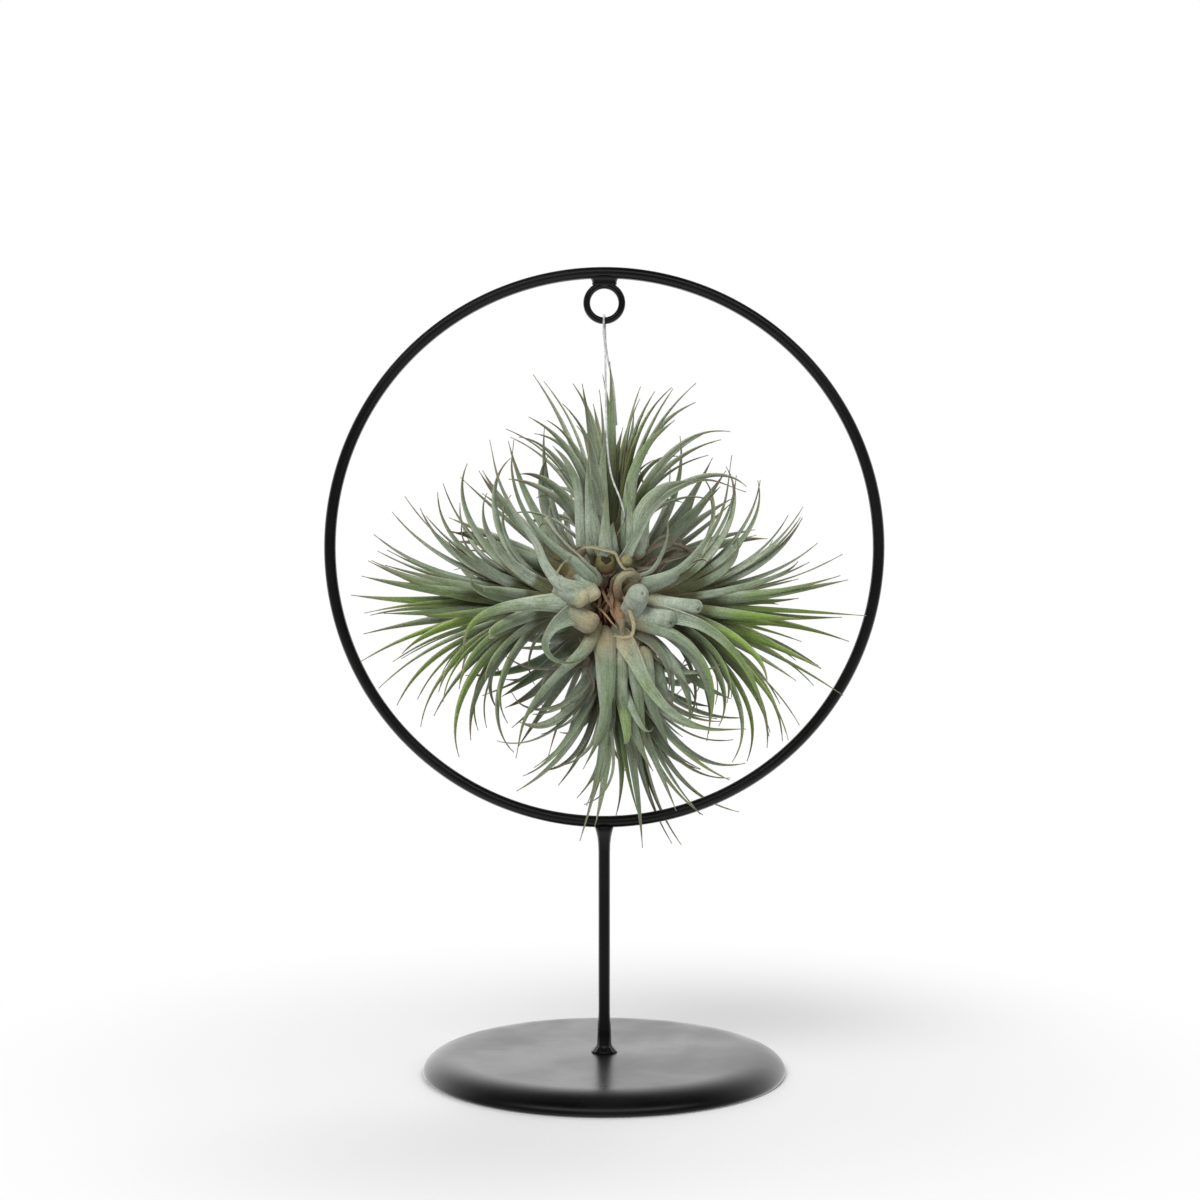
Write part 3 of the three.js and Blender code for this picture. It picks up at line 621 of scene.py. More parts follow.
def leaf_material():
    """Grey-green leaf under silvery scales: cream at the sheath, fresh green where young, dry at the tip,
    with painted shade where it is hidden and in its channel, and a painted highlight on its margins.
    """
    s = Surface("scaly_leaf")
    along, across, tint, young, dry, deep, cream, straw = s.attributes(*LEAF_VALUES)
    place = s.place()
    off_middle = s.maths("ABSOLUTE", across)
    strip = {"X": s.times(along, 7.0), "Y": s.times(across, 4.0), "Z": s.times(tint, 60.0)}
    streaks = s.noise(s.add("CombineXYZ", strip), 1.6, 3.0)
    scales = s.noise(place, 1500.0, 2.0, 0.6)
    patches = s.noise(place, 110.0, 4.0, 0.6)
    flecks = s.noise(place, 520.0, 3.0, 0.65)

    in_streak = s.ramp(streaks, 0.3, 0.75)
    dull_green = s.mix(in_streak, (0.066, 0.098, 0.046), (0.112, 0.158, 0.080))
    fresh_green = s.mix(in_streak, (0.105, 0.190, 0.020), (0.200, 0.300, 0.044))
    green = s.mix(young, dull_green, fresh_green)
    silver = s.mix(tint, (0.202, 0.246, 0.182), (0.385, 0.434, 0.356))
    coat = s.ramp(s.plus(patches, s.times(streaks, 0.6)), 0.50, 1.0, 0.30, 1.0)
    coat = s.times(coat, s.ramp(along, 0.30, 1.0, 1.0, 0.30))
    coat = s.times(coat, s.ramp(young, 0.0, 1.0, 1.0, 0.12))
    colour = s.mix(coat, green, silver)
    colour = s.mix(s.ramp(flecks, 0.62, 0.74, 0.0, 0.45), colour, (0.105, 0.100, 0.060))
    # Painted highlight: lighter margins along the blade's edges
    colour = s.mix(s.ramp(off_middle, 0.80, 1.0, 0.0, 0.45), colour, (0.40, 0.41, 0.29))
    # Painted shade: darker along the middle of the blade, in its channel
    colour = s.shaded(colour, s.ramp(off_middle, 0.0, 0.55, 0.84, 1.0))

    base = s.ramp(s.plus(s.maths("DIVIDE", along, cream), s.times(streaks, 0.5)), 0.55, 1.45, 0.92, 0.0)
    base_colour = s.mix(tint, (0.190, 0.165, 0.088), (0.370, 0.345, 0.215))
    base_colour = s.mix(s.ramp(patches, 0.35, 0.7), base_colour, (0.240, 0.190, 0.120))
    colour = s.mix(base, colour, base_colour)
    withered = s.times(s.ramp(s.plus(along, s.times(streaks, 0.22)), 0.82, 1.12), dry)
    colour = s.mix(withered, colour, s.mix(tint, (0.105, 0.080, 0.048), (0.215, 0.190, 0.135)))

    dried = s.mix(tint, (0.076, 0.062, 0.044), (0.330, 0.295, 0.180))
    dried = s.mix(s.ramp(streaks, 0.4, 0.7, 0.0, 0.7), dried, s.shaded(dried, 0.45))
    stained = s.ramp(s.distance(place, STAIN_PLACE), *STAIN_FADE, 1.0, 0.0)
    dried = s.mix(stained, dried, s.tinted(dried, (1.0, 0.70, 0.62)))
    colour = s.mix(straw, colour, dried)
    colour = s.shaded(colour, s.ramp(scales, 0.3, 0.7, 0.82, 1.13))
    # Painted shade: darker and warmer where deep says the point is hidden among other leaves or inside a
    # stub's pit
    colour = s.mix(s.ramp(deep, 0.3, 1.0), colour, s.tinted(colour, (0.36, 0.34, 0.22)))

    ribs = s.maths("SINE", s.times(across, 22.0))
    normal = s.bump(ribs, 0.00008, 0.35)
    normal = s.bump(patches, 0.0006, 0.35, normal)
    normal = s.bump(scales, 0.00014, 0.55, normal)
    return s.finish(
        Base_Color=colour, Roughness=s.ramp(patches, 0.3, 0.7, 0.52, 0.70), Specular_IOR_Level=0.35,
        Sheen_Weight=0.12, Sheen_Roughness=0.5, Subsurface_Weight=0.05, Subsurface_Scale=0.002, Normal=normal,
    )


def stem_material():
    """Old fibrous stem: red-brown in its hollow, dull brown outside."""
    s = Surface("old_stem")
    place = s.place()
    (hollow,) = s.attributes("hollow")
    fibres = s.noise(s.stretched(place, 1.0, 1.0, 0.3), 700.0, 5.0, 0.7)
    patches = s.noise(place, 160.0, 3.0)
    outside = s.mix(s.ramp(patches, 0.35, 0.65), (0.070, 0.055, 0.028), (0.190, 0.155, 0.090))
    inside = s.mix(s.ramp(fibres, 0.35, 0.65), (0.016, 0.005, 0.003), (0.115, 0.038, 0.016))
    colour = s.mix(hollow, outside, inside)
    colour = s.mix(s.ramp(fibres, 0.50, 0.80, 0.0, 0.45), colour, (0.25, 0.17, 0.10))
    normal = s.bump(fibres, 0.0007, 0.9)
    return s.finish(Base_Color=colour, Roughness=0.85, Specular_IOR_Level=0.2, Normal=normal)


def bud_material():
    """Smooth olive scale over a bud: brown towards its root, with painted shade in an olive bud's open end.
    """
    s = Surface("bud_scale")
    place = s.place()
    along, tint = s.attributes("along", "tint")
    veins = s.noise(s.stretched(place, 1.0, 1.0, 0.25), 900.0, 3.0)
    olive = s.mix(tint, (0.090, 0.080, 0.028), (0.210, 0.200, 0.100))
    colour = s.mix(s.ramp(veins, 0.35, 0.7, 0.0, 0.6), olive, s.shaded(olive, 0.5))
    colour = s.mix(s.ramp(along, 0.35, 0.85), (0.080, 0.032, 0.010), colour)
    # Painted shade: near black inside an olive bud's open end
    painted_shade_in_opening = s.times(s.ramp(along, BUD_OPENING, BUD_OPENING + 0.04), s.ramp(tint, 0.3, 0.6, 1.0, 0.0))
    colour = s.mix(painted_shade_in_opening, colour, (0.020, 0.014, 0.006))
    normal = s.bump(veins, 0.0002, 0.6)
    return s.finish(Base_Color=colour, Roughness=0.5, Specular_IOR_Level=0.4, Normal=normal)


PAINT = paint_material()
CLEAR_LINE = line_material()
LEAF = leaf_material()
OLD_STEM = stem_material()
BUD = bud_material()


# Stand pieces

SHOULDER_STEPS = 24


def foot_profile():
    """The foot's outline, from its underside round the edge and the shoulder to its flat top."""
    radius = FOOT_DIAMETER / 2
    flat = radius - SHOULDER
    profile = [(radius - 1.2, 0.0), (radius - 0.35, 0.12), (radius, 0.5), (radius, FOOT_EDGE)]
    for k in range(1, SHOULDER_STEPS + 1):
        out = math.cos(k / SHOULDER_STEPS * math.pi / 2)
        rise = (1 - out ** 2.4) ** 0.55
        profile.append((flat + SHOULDER * out, FOOT_EDGE + (FOOT_HEIGHT - FOOT_EDGE) * rise))
    return profile + [(flat * 0.6, FOOT_HEIGHT), (flat * 0.2, FOOT_HEIGHT)]


def weld_ripple(bottom, top, depth, ripples):
    """The uneven edge of a weld between two heights, for turned()."""
    def wobble(angle, z):
        share = np.clip(1 - abs(2 * (z - bottom) / (top - bottom) - 1), 0, 1)
        return depth * share * (np.sin(ripples * angle) + 0.6 * np.sin(3 * angle + 1.3))
    return wobble


def stem():
    """The stem with a collar of weld on the foot and a flare of weld under the hoop."""
    rod = ROD / 2
    bottom, top = FOOT_HEIGHT + GAP, HEIGHT - HOOP_OUTER + 0.2
    collar = [
        (STEM_COLLAR, -0.28), (STEM_COLLAR + 0.05, 0.1), (STEM_COLLAR - 0.3, 0.45), (STEM_COLLAR - 1, 1),
        (rod + 0.8, 1.7), (rod + 0.45, 2.6), (rod + 0.35, 6), (rod + 0.3, 10), (rod + 0.1, 12), (rod, 14),
    ]
    flare = [
        (rod, -9), (rod + 0.1, -6), (rod + 0.4, -3.5), (STEM_FLARE - 0.4, -1.8), (STEM_FLARE, -0.3),
        (STEM_FLARE - 0.5, 0.6),
    ]
    profile = [(out, bottom + z) for out, z in collar] + [(rod, 45)] + [(out, top + z) for out, z in flare]
    return turned(profile, 72, weld_ripple(bottom - 0.6, bottom + 3.2, 0.16, 13))


def eyelet_weld():
    """A flat bead of weld between the inside of the hoop and the eyelet."""
    inside = HEIGHT - ROD
    profile = [
        (3.2, -2.6), (4.0, -2.4), (4.4, -2.0), (4.35, -1.4), (4.35, -0.9), (4.6, -0.4), (5.1, 0), (5.5, 0.3),
        (5.1, 0.7),
    ]
    ripple = weld_ripple(inside - 2.5, inside + 0.6, 0.12, 7)
    positions, faces = turned([(out, inside + z) for out, z in profile], 64, ripple)
    return positions * (1, EYE_WELD_FLAT, 1), faces


def build_stand():
    pieces = [
        ("foot_disc", turned(foot_profile(), 192), "foot"),
        ("stem_rod", stem(), "stem"),
        ("hoop_ring", ring_rod(HOOP_RADIUS, ROD, HOOP_Z, 288, 28), "hoop"),
        ("eyelet_ring", ring_rod(EYE_RADIUS, EYE_ROD, EYE_Z, 96, 24), "eyelet"),
        ("eyelet_weld", eyelet_weld(), None),
    ]
    for name, (positions, faces), replaces in pieces:
        add_piece(name, positions, faces, PAINT, {}, replaces)


# Hanging line

def build_line():
    route = curve_through(LINE_ROUTE, np.linspace(1, 0, LINE_POINTS))
    curve = bpy.data.curves.new("hanging_line_curve", "CURVE")
    curve.dimensions = "3D"
    curve.bevel_depth = LINE_DIAMETER / 2 * MM
    curve.bevel_resolution = 4
    curve.use_fill_caps = True
    spline = curve.splines.new("POLY")
    spline.points.add(len(route) - 1)
    for point, place in zip(spline.points, route):
        point.co = (*(place * MM), 1)
    curve.materials.append(CLEAR_LINE)
    line = bpy.data.objects.new("line_strand", curve)
    bpy.context.scene.collection.objects.link(line)
    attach(line, "root")
    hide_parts("hanging_line")


# Leaves

BLADE_STEPS = 36
SHEATH_TAPER = 2.2
SLIM_BETWEEN = (0.08, 0.42)  # shares of a crown leaf's length between which it grows slim
ROUND_ROOT = 0.09  # share of its length over which a leaf's root is rounded
ROUND_LOSS = (0.26, 0.75)  # shares of its width that it loses on its sheath and at its root's end
SHEATH_BACK = (5.0, 2.5)  # how far behind its root a rosette leaf's sheath reaches into the stem
LEAST_WIDTH = 0.28
THIN_WIDTH = 1.1  # a narrower blade is as deep as one of this width,
THIN_DEEPER = 2.2  # up to this many times what its own width gives
EDGE_WAVE = 0.05  # how far a blade's edges wave up and down, as a share of its width
# The blade's section in shares of its width: across, and up towards the side that the channel faces
BLADE_SECTION = np.array([
    (-0.50, 0.13), (-0.38, 0.03), (-0.20, -0.05), (0.0, -0.08), (0.20, -0.05), (0.38, 0.03), (0.50, 0.13),
    (0.48, 0.01), (0.36, -0.15), (0.19, -0.25), (0.0, -0.285), (-0.19, -0.25), (-0.36, -0.15), (-0.48, 0.01),
])
# Painted shade on a leaf grows with how many other leaves pass near it
CROWD_REACH = 7.0  # how near other leaves hide a leaf
CROWD = (10, 70)  # steps of leaves within that reach round an open leaf, and round a quite hidden one
# Distances from the clump's middle between which leaves turn fresh green: to the sides and in height, and
# inside two rosettes up or down, round a column a little to the right
FRESH_SIDES = (24, 54)
FRESH_HEIGHT = (14, -10)
FRESH_INSIDE = (16, 30)
FRESH_COLUMN = 9
FRESH_ROUND = (12.6, 3.6)


def share_between(values, low, high):
    """0 at low, 1 at high, and even between them."""
    return np.clip((values - low) / (high - low), 0, 1)


def smooth_step(values, low, high):
    share = share_between(values, low, high)
    return share * share * (3 - 2 * share)


def sheath_back(leaf):
    return () if "path" in leaf else SHEATH_BACK


def blade_width(leaf, width, t):
    width = width * (1 - leaf.get("slim", 0.0) * smooth_step(t, *SLIM_BETWEEN))
    if leaf.get("round_root"):
        width = width * (1 - ROUND_LOSS[0] * np.maximum(0, 1 - t / SHEATH_SHARE))
        width = width * (1 - ROUND_LOSS[1] * np.maximum(0, 1 - t / ROUND_ROOT) ** 2)
    return np.maximum(width, LEAST_WIDTH)


def blade(leaf):
    """A leaf as a closed tube with a channelled section: its points, how far along and how far across."""
    line = leaf_line(leaf, BLADE_STEPS)
    heading = unit(line["at"][1] - line["at"][0])
    backs = sheath_back(leaf)
    at = np.vstack([line["at"][0] - np.outer(backs, heading), line["at"]])
    order = [0] * len(backs) + list(range(BLADE_STEPS + 1))
    across, up, t = (line[key][order] for key in ("across", "up", "t"))
    width = blade_width(leaf, line["width"][order], t)
    deep = np.minimum(np.maximum(width, THIN_WIDTH), THIN_DEEPER * width)
    wave = EDGE_WAVE * np.sin(t * leaf["ripple"] + leaf["ripple"]) * np.minimum(1, 4 * t)
    rows = []
    for k in range(len(t)):
        side = BLADE_SECTION[:, 0] * width[k]
        lift = BLADE_SECTION[:, 1] * deep[k] + wave[k] * side
        rows.append(at[k] + np.outer(side, across[k]) + np.outer(lift, up[k]))
    return np.vstack(rows), np.repeat(t, len(BLADE_SECTION)), np.tile(BLADE_SECTION[:, 0] * 2, len(t))


def painted_shade_by_crowding(leaves_of):
    """How much painted shade a leaf gets at each of its steps for being hidden: the more leaves pass near it,
    the more.
    """
    every = [leaf for leaves in leaves_of.values() for leaf in leaves]
    places = np.vstack([leaf_line(leaf, BLADE_STEPS)["at"] for leaf in every])
    tree = KDTree(len(places))
    for k, place in enumerate(places):
        tree.insert(place, k)
    tree.balance()

    def painted_shade_at(at):
        count = np.array([len(tree.find_range(place, CROWD_REACH)) for place in at])
        return share_between(count, *CROWD)

    return painted_shade_at


def freshness(points, young):
    """How bright a green a leaf is: most at the outer ends of the clump's two sides, low down."""
    x, _, z = (points - CLUMP).T
    outer = share_between(np.abs(x), *FRESH_SIDES) * share_between(z, *FRESH_HEIGHT)
    inner = share_between(np.abs(x - FRESH_COLUMN), *FRESH_ROUND) * share_between(np.abs(z), *FRESH_INSIDE)
    return np.clip(0.2 * young + outer * (0.35 + 0.75 * young) + inner * (0.12 + 0.4 * young), 0, 1)


class LeafMesh:
    """Leaves gathered into one mesh."""

    def __init__(self):
        self.positions, self.faces, self.count = [], [], 0
        self.values = {key: [] for key in LEAF_VALUES}

    def add(self, leaf, deep=None, **settings):
        """Adds a leaf. deep is the painted shade at each step, for how hidden it is; the settings are the
        other leaf values.
        """
        points, along, across = blade(leaf)
        around = len(BLADE_SECTION)
        self.faces.extend(capped_tube(len(points) // around, around, self.count))
        self.positions.append(points)
        self.count += len(points)
        deep = np.zeros(BLADE_STEPS + 1) if deep is None else deep
        deep = np.concatenate([deep[:1]] * len(sheath_back(leaf)) + [deep])
        values = {key: np.full(len(points), float(value)) for key, value in settings.items()}
        values.update(along=along, across=across, deep=np.repeat(deep, around))
        values["young"] = freshness(points, settings["young"])
        for key in LEAF_VALUES:
            self.values[key].append(values[key])

    def build(self, name, replaces=None):
        values = {key: np.concatenate(rows) for key, rows in self.values.items()}
        add_piece(name, np.vstack(self.positions), self.faces, LEAF, values, replaces)


def build_leaves(leaves_of):
    painted_shade_at = painted_shade_by_crowding(leaves_of)
    for owner, leaves in leaves_of.items():
        random = seeded(len(owner) * 31 + 7)
        mesh = LeafMesh()
        for leaf in leaves:
            leaf["ripple"] = 4 + 9 * random()
            # Painted shade for how hidden the leaf is among the others
            deep = painted_shade_at(leaf_line(leaf, BLADE_STEPS)["at"])
            cream = leaf.get("cream", 0.11 + 0.16 * random() ** 2)
            tint, young, dry = random(), random(), 0.35 + 0.65 * random()
            mesh.add(leaf, deep, tint=tint, young=young, dry=dry, cream=cream, straw=0)
        mesh.build(owner + "_leaves", owner)


# Dried strips and strands: width, how straw-like, tint from brown to pale straw, the side that the channel
# faces, how evenly broad the strip is, and places from the middle of the crown
DRIED = [
    (1.1, 1, 0.95, 1, 4, [(-10.5, -6, 17), (-7.5, -10, 19), (-4, -12, 19), (0, -13, 18), (3.5, -13, 17),
     (5, -13, 14), (7, -13.5, 11.5), (9.5, -13, 11.5), (11.5, -12, 9.5), (13.5, -10, 8)]),
    (1.3, 1, 1, 1, 6, [(7, -9, 2), (8, -11, -1.5), (9, -13, -4), (10, -14, -7.5), (9.5, -14.5, -11),
     (7, -15, -12), (2.5, -15, -11.5)]),
    (2.9, 0.9, 0.8, -1, 6, [(5, -3, -1), (5, -7, 2), (4.5, -10, 4.5), (5, -12, 7.5), (7, -12.5, 9.5),
     (9.5, -12, 10), (11.5, -10, 8.5), (13, -6, 6.5)]),
    (1.5, 1, 0.7, -1, 5, [(2, -4, 2.5), (2.5, -7, 5.5), (3, -9, 8), (5, -10, 10)]),
    (0.7, 1, 1, 1, 5, [(-4, -7, -0.5), (-1.5, -9, -2.5), (0.5, -10, -4.5), (2.5, -11, -7), (4.5, -11, -9)]),
    (4.6, 1, 0.55, -1, 2, [(3, -4, 1), (4, -7, -2), (5, -10, -5), (6, -11.5, -8), (5.5, -12, -11)]),
    (0.6, 1, 0.8, 1, 6, [(-1.5, -5, -2.5), (0, -7, 0), (1.5, -7, 2.5), (3, -5, 4)]),
    (0.6, 1, 0.7, 1, 6, [(-0.5, -4, -3.5), (1, -6, -0.5), (2.5, -7, 1), (3.5, -6, -1.5), (3, -5, -4)]),
    (0.5, 1, 0.6, 1, 6, [(1, -5, -4), (1.5, -8, -1), (2.5, -8, 1.5), (3, -6, 3)]),
    (0.8, 0.5, 0.8, 1, 3, [(-15, -13, 0.5), (-16.5, -15, 4), (-17, -16, 8), (-15, -16, 12.5),
     (-12.5, -15, 15), (-9.5, -12, 17)]),
    (0.8, 0.4, 0.6, 1, 4, [(-20.5, -9, 29.5), (-16.5, -12, 24), (-12.5, -13, 19.5), (-8.5, -14, 16),
     (-5, -14, 12.5), (-2.5, -12, 9), (-2, -9, 6)]),
    (0.5, 1, 0.2, 1, 5, [(-7.5, -8, -13.5), (-6, -9, -16), (-7.5, -10, -18.5), (-9, -10, -17)]),
    (0.5, 1, 0.3, 1, 5, [(-4, -7, -13.5), (-6, -9, -15), (-8, -10, -14), (-9, -9, -11.5)]),
    (1.1, 0.6, 0.1, 1, 2, [(-5.5, -6, -19), (-12, -8, -22), (-19.5, -10, -23), (-26.5, -11, -22.5),
     (-32, -12, -20), (-35.5, -12, -17.5)]),
    (1.3, 0.5, 0.2, 1, 2, [(-3, -5, -25), (-8.5, -9, -31.5), (-15.5, -11, -35.5), (-23, -12, -37),
     (-29, -12, -35), (-32.5, -11, -30.5)]),
    (1.3, 0.3, 0.3, -1, 2, [(-0.5, -6, -31), (-1.5, -9, -42), (-5, -11, -50), (-11, -12, -55),
     (-17.5, -12, -57)]),
    (1.2, 0.3, 0.4, 1, 2, [(1, -6, -38.5), (3, -9, -50), (2.5, -11, -60), (-1.5, -12, -67), (-7, -12, -70)]),
    (1.1, 0.5, 0.2, -1, 2, [(-4, -5, -17), (-13.5, -7, -20), (-19.5, -9, -24.5), (-22, -10, -31.5),
     (-21, -10, -38.5)]),
    (1.5, 0.6, 0.25, 1, 2, [(11, -6, -11.5), (16, -9, -15), (20.5, -10, -20.5), (22.5, -9, -26.5),
     (22, -8, -33)]),
    (1.2, 0.7, 0.15, 1, 2, [(12.5, -4, -13.5), (17.5, -7, -19), (23.5, -9, -24), (30, -9, -31),
     (32.5, -8, -38.5)]),
    (1.3, 0.7, 0.1, -1, 2, [(10.5, -4, -18), (15.5, -6, -26), (22, -8, -34.5), (30.5, -9, -39),
     (39, -9, -40.5)]),
    (0.9, 0.8, 0.2, 1, 3, [(12.5, -4, 14.5), (16, -6, 19), (20, -7, 22.5), (25, -7, 22.5), (28.5, -6, 19)]),
    (1, 0.7, 0.35, 1, 3, [(11, -5, 11), (16, -8, 12), (21, -9, 14), (26.5, -8, 15.5), (31.5, -6, 18)]),
    (1.7, 0.3, 0.5, -1, 2, [(12.5, -6, 8.5), (16.5, -9, 11), (19.5, -11, 16), (21.5, -11, 22),
     (22, -9, 29.5)]),
    (0.7, 1, 0.1, 1, 3, [(15.5, -5, 8), (21, -7, 10), (27.5, -8, 12), (34, -7, 14.5), (37.5, -6, 12)]),
    (0.6, 1, 0.15, 1, 3, [(14.5, -2, 10), (20, -4, 14.5), (26, -5, 17), (30, -5, 16.5), (34.5, -5, 15)]),
    (1.2, 0.4, 0.3, 1, 2, [(-11, -6, 15.5), (-15.5, -8, 21.5), (-18, -9, 27), (-19, -8, 32.5),
     (-16.5, -6, 36.5)]),
    (0.9, 0.6, 0.6, 1, 3, [(-13, -7, 14.5), (-16.5, -9, 18.5), (-19, -9, 23.5), (-21, -8, 27),
     (-23.5, -7, 24.5)]),
    (0.8, 0.6, 0.2, 1, 3, [(-14.5, -8, 13.5), (-18.5, -10, 15.5), (-20.5, -10, 19.5), (-19.5, -9, 23.5)]),
    (1, 1, 0.45, 1, 6, [(-1.5, -5, 6.5), (-0.5, -8, 3.5), (0.5, -9.5, 1), (2.5, -10, -2), (4.5, -8, -5.5)]),
    (0.9, 1, 0.35, 1, 6, [(3, -5, 2.5), (1.5, -9, 0), (0, -9, -3.5), (0.5, -6, -7.5)]),
    (1.2, 1, 0.55, 1, 5, [(1.5, -4, 4.5), (2.5, -8.5, 1), (2.5, -10, -3), (4.5, -10, -7), (5, -9, -9.5)]),
    (1, 1, 0.3, 1, 5, [(-2.5, -6, 4), (-1.5, -9, 1), (-2, -9, -2), (-1, -6, -5.5)]),
    (2.4, 1, 0.3, 1, 5, [(0, -5, 12), (0.5, -7, 9.5), (0, -6.5, 6.5), (-0.5, -4, 4)]),
    (1.4, 0.9, 0.25, 1, 3, [(15.5, -3, 6), (20, -6, 12), (25, -7, 16.5), (30, -6, 17), (35, -4, 15.5)]),
    (1.2, 1, 0.15, 1, 3, [(13, -4, 12), (18, -7, 15.5), (23.5, -8, 18.5), (29, -7, 18), (33.5, -5, 19)]),
    (1.3, 1, 0.2, 1, 3, [(12.5, -4, 14.5), (16.5, -7, 18.5), (22, -8, 20.5), (27.5, -8, 19), (32, -6, 15)]),
    (1.2, 1, 0.2, 1, 3, [(-4, -6, -13.5), (-7, -9, -17), (-5.5, -9, -20.5), (-9, -8, -23), (-12, -7, -22)]),
    (1, 1, 0.3, 1, 3, [(-3, -7, -12), (-5, -10, -15.5), (-7.5, -10, -17.5), (-10.5, -9, -20.5),
     (-10, -7, -24.5)]),
    (1.6, 0.8, 0.15, 1, 3, [(-3.5, -5, -17), (-5.5, -8, -22.5), (-4, -8, -29), (-6.5, -7, -34.5),
     (-10.5, -6, -37.5)]),
]

# Short broad leaves round the front of the upper and lower rosettes' feet: width, tint from dull to silvery,
# how much is cream, and places from the middle of the crown
SHEATHS = [
    (4.6, 0.75, 0.18, [(3, -5, 15.5), (2.5, -7.5, 19.5), (2.5, -8, 23.5), (3, -7, 27.5)]),
    (3.5, 0.65, 0.12, [(9, -5, 15), (9, -7, 19.5), (9, -7, 26.5), (8.5, -6, 33.5), (7.5, -5, 42)]),
    (7, 0.7, 0.10, [(11, -4, 14.5), (12, -6, 21.5), (12.5, -6.5, 28), (15.5, -6, 34.5), (21, -5, 39.5),
     (29.5, -3, 42)]),
    (4.2, 0.55, 0.09, [(-4, -4, 15.5), (-4.5, -6, 23), (-5, -6, 31.5), (-5.5, -5, 42), (-5.5, -4, 52.5)]),
    (4, 0.6, 0.09, [(-7.5, -3, 15.5), (-8, -5, 23), (-8.5, -5, 31.5), (-9.5, -4, 40.5), (-13.5, -3, 49),
     (-18, -2, 54)]),
    (4, 0.7, 0.15, [(-2, -4, 15.5), (-2.5, -6.5, 23), (-4, -6, 31), (-5, -5, 38.5)]),
    (4.8, 0.35, 0.06, [(8.5, -3, 15.5), (8, -4.5, 24.5), (8.5, -4.5, 35), (10.5, -3, 45.5), (16, -2, 55.5),
     (24.5, -1, 63)]),
    (3.9, 0.45, 0.07, [(0.5, -3, 15.5), (0, -4, 26.5), (-0.5, -4, 38.5), (-0.5, -3, 49), (0.5, -2, 59.5)]),
    (5.8, 0.55, 0.33, [(-1.5, -6, -12), (-0.5, -9, -18.5), (0, -9.5, -27.5), (0.5, -9, -36), (0, -8, -45),
     (-3, -7, -51)]),
    (4.4, 0.45, 0.45, [(2.5, -6, -13.5), (2.5, -9.5, -20.5), (2.5, -10, -29), (3.5, -9, -36)]),
    (4.8, 0.65, 0.27, [(6, -6, -14.5), (6, -9.5, -21), (6, -9.5, -31), (8.5, -8, -42), (11, -6, -52)]),
    (5.3, 0.55, 0.24, [(9, -6, -13.5), (9.5, -9, -18.5), (11, -9, -27.5), (12.5, -8, -38), (14, -6, -50)]),
    (6.3, 0.5, 0.30, [(13, -5, -15.5), (14, -8, -21), (15, -8.5, -29), (17.5, -7, -38.5), (22.5, -5, -50.5)]),
    (3.9, 0.5, 0.15, [(17, -3, -19), (19, -5, -25), (21, -5, -32.5), (25, -4, -39.5), (31, -3, -44.5)]),
    (2.6, 0.2, 0.18, [(-3, -3, -19), (-4, -6, -26), (-7, -6, -31.5), (-13.5, -5, -35.5), (-19.5, -4, -37.5)]),
    (3.2, 0.2, 0.36, [(10.5, -4, -9), (16, -7, -13), (21, -8, -19.5), (23.5, -8, -28), (23.5, -7, -36.5)]),
    (3.9, 0.55, 0.13, [(12.5, -3, -11), (19, -6, -15.5), (25, -7, -23.5), (29, -7, -32.5), (30, -6, -42)]),
    (4.2, 0.6, 0.10, [(15.5, -3, -7.5), (23.5, -6, -12), (31.5, -7, -20), (36, -7, -29.5), (37.5, -6, -40)]),
    (3, 0.4, 0.18, [(9, -3, -13.5), (14, -5, -19), (17.5, -6, -27), (18, -5, -36)]),
    (4, 0.45, 0.10, [(14, 0, -14), (21, -2, -18.5), (28, -2, -25), (36, -1, -30.5), (44.5, 1, -34.5)]),
]


def loose_leaf(path, width, front, taper, twist, ripple, round_root=False):
    """A leaf that has no solid and keeps to its path."""
    return {
        "path": np.array(path, float), "width": width, "front": front, "taper": taper, "twist": twist,
        "ripple": ripple, "round_root": round_root, "shift": np.zeros(3),
    }


def build_dried():
    random = seeded(41)
    mesh = LeafMesh()
    for width, straw, tint, front, taper, path in DRIED:
        leaf = loose_leaf(path, width, front, taper, 120 * (random() - 0.5), 8 + 8 * random())
        mesh.add(leaf, tint=tint, young=0.2, dry=0.8, cream=0.02, straw=straw)
    mesh.build("dried_strips")


def build_sheaths():
    random = seeded(43)
    mesh = LeafMesh()
    for width, tint, cream, path in SHEATHS:
        leaf = loose_leaf(path, width, -1, SHEATH_TAPER, 24 * (random() - 0.5), 5 + 6 * random(), True)
        mesh.add(leaf, tint=tint, young=0.5 * random(), dry=0.3, cream=cream, straw=0)
    mesh.build("sheath_leaves")


# Stems, stubs and buds

CROWN_SIZE = (8.0, 9.5, 12.0)  # half sizes of the crown's old stem: front to back, side to side, and height
CROWN_INSET = 0.3  # how far the shown stem lies inside these
CORE_SIZE = (5.9, 5.9, 8.0)  # half sizes of a rosette's stem as it is shown, inside its leaves
HOLLOW_SIZE = (5.0, 11.0)  # half the width and height of the hollow
HOLLOW_RIM = 1.25  # how far out its edge is, in shares of these
HOLLOW_DEPTH = 6.5
STUB_AROUND = 32
STUB_STEPS = 30
STUB_BEND = 0.6  # how far a stub sags between its ends
STUB_FLAT = 0.88  # its thickness as a share of its width
PIT_PLACE = (-0.25, 0.35, 0.30)  # of a stub's pit from its end, in radii: along, to the front and across
PIT_RADIUS = 0.15  # in the stub's radii too
PIT_RIM = 1.6  # how far out the pit's edge is, in its own radii
PIT_DEPTH = 0.22
SHOWN_STUBS = [  # both ends, radius and how much the stub tapers
    ((8.5, -5, -4.5), (12.6, -16, 5.2), 4.0, 0.06),
    ((9, -5, -4.0), (24.5, -13, -6.2), 3.7, 0.14),
    ((12.5, -4, 0.8), (33.9, -11, -1.8), 3.2, 0.20),
    ((11.2, -3, 3.8), (25.6, -10, 10.2), 3.0, 0.34),
]
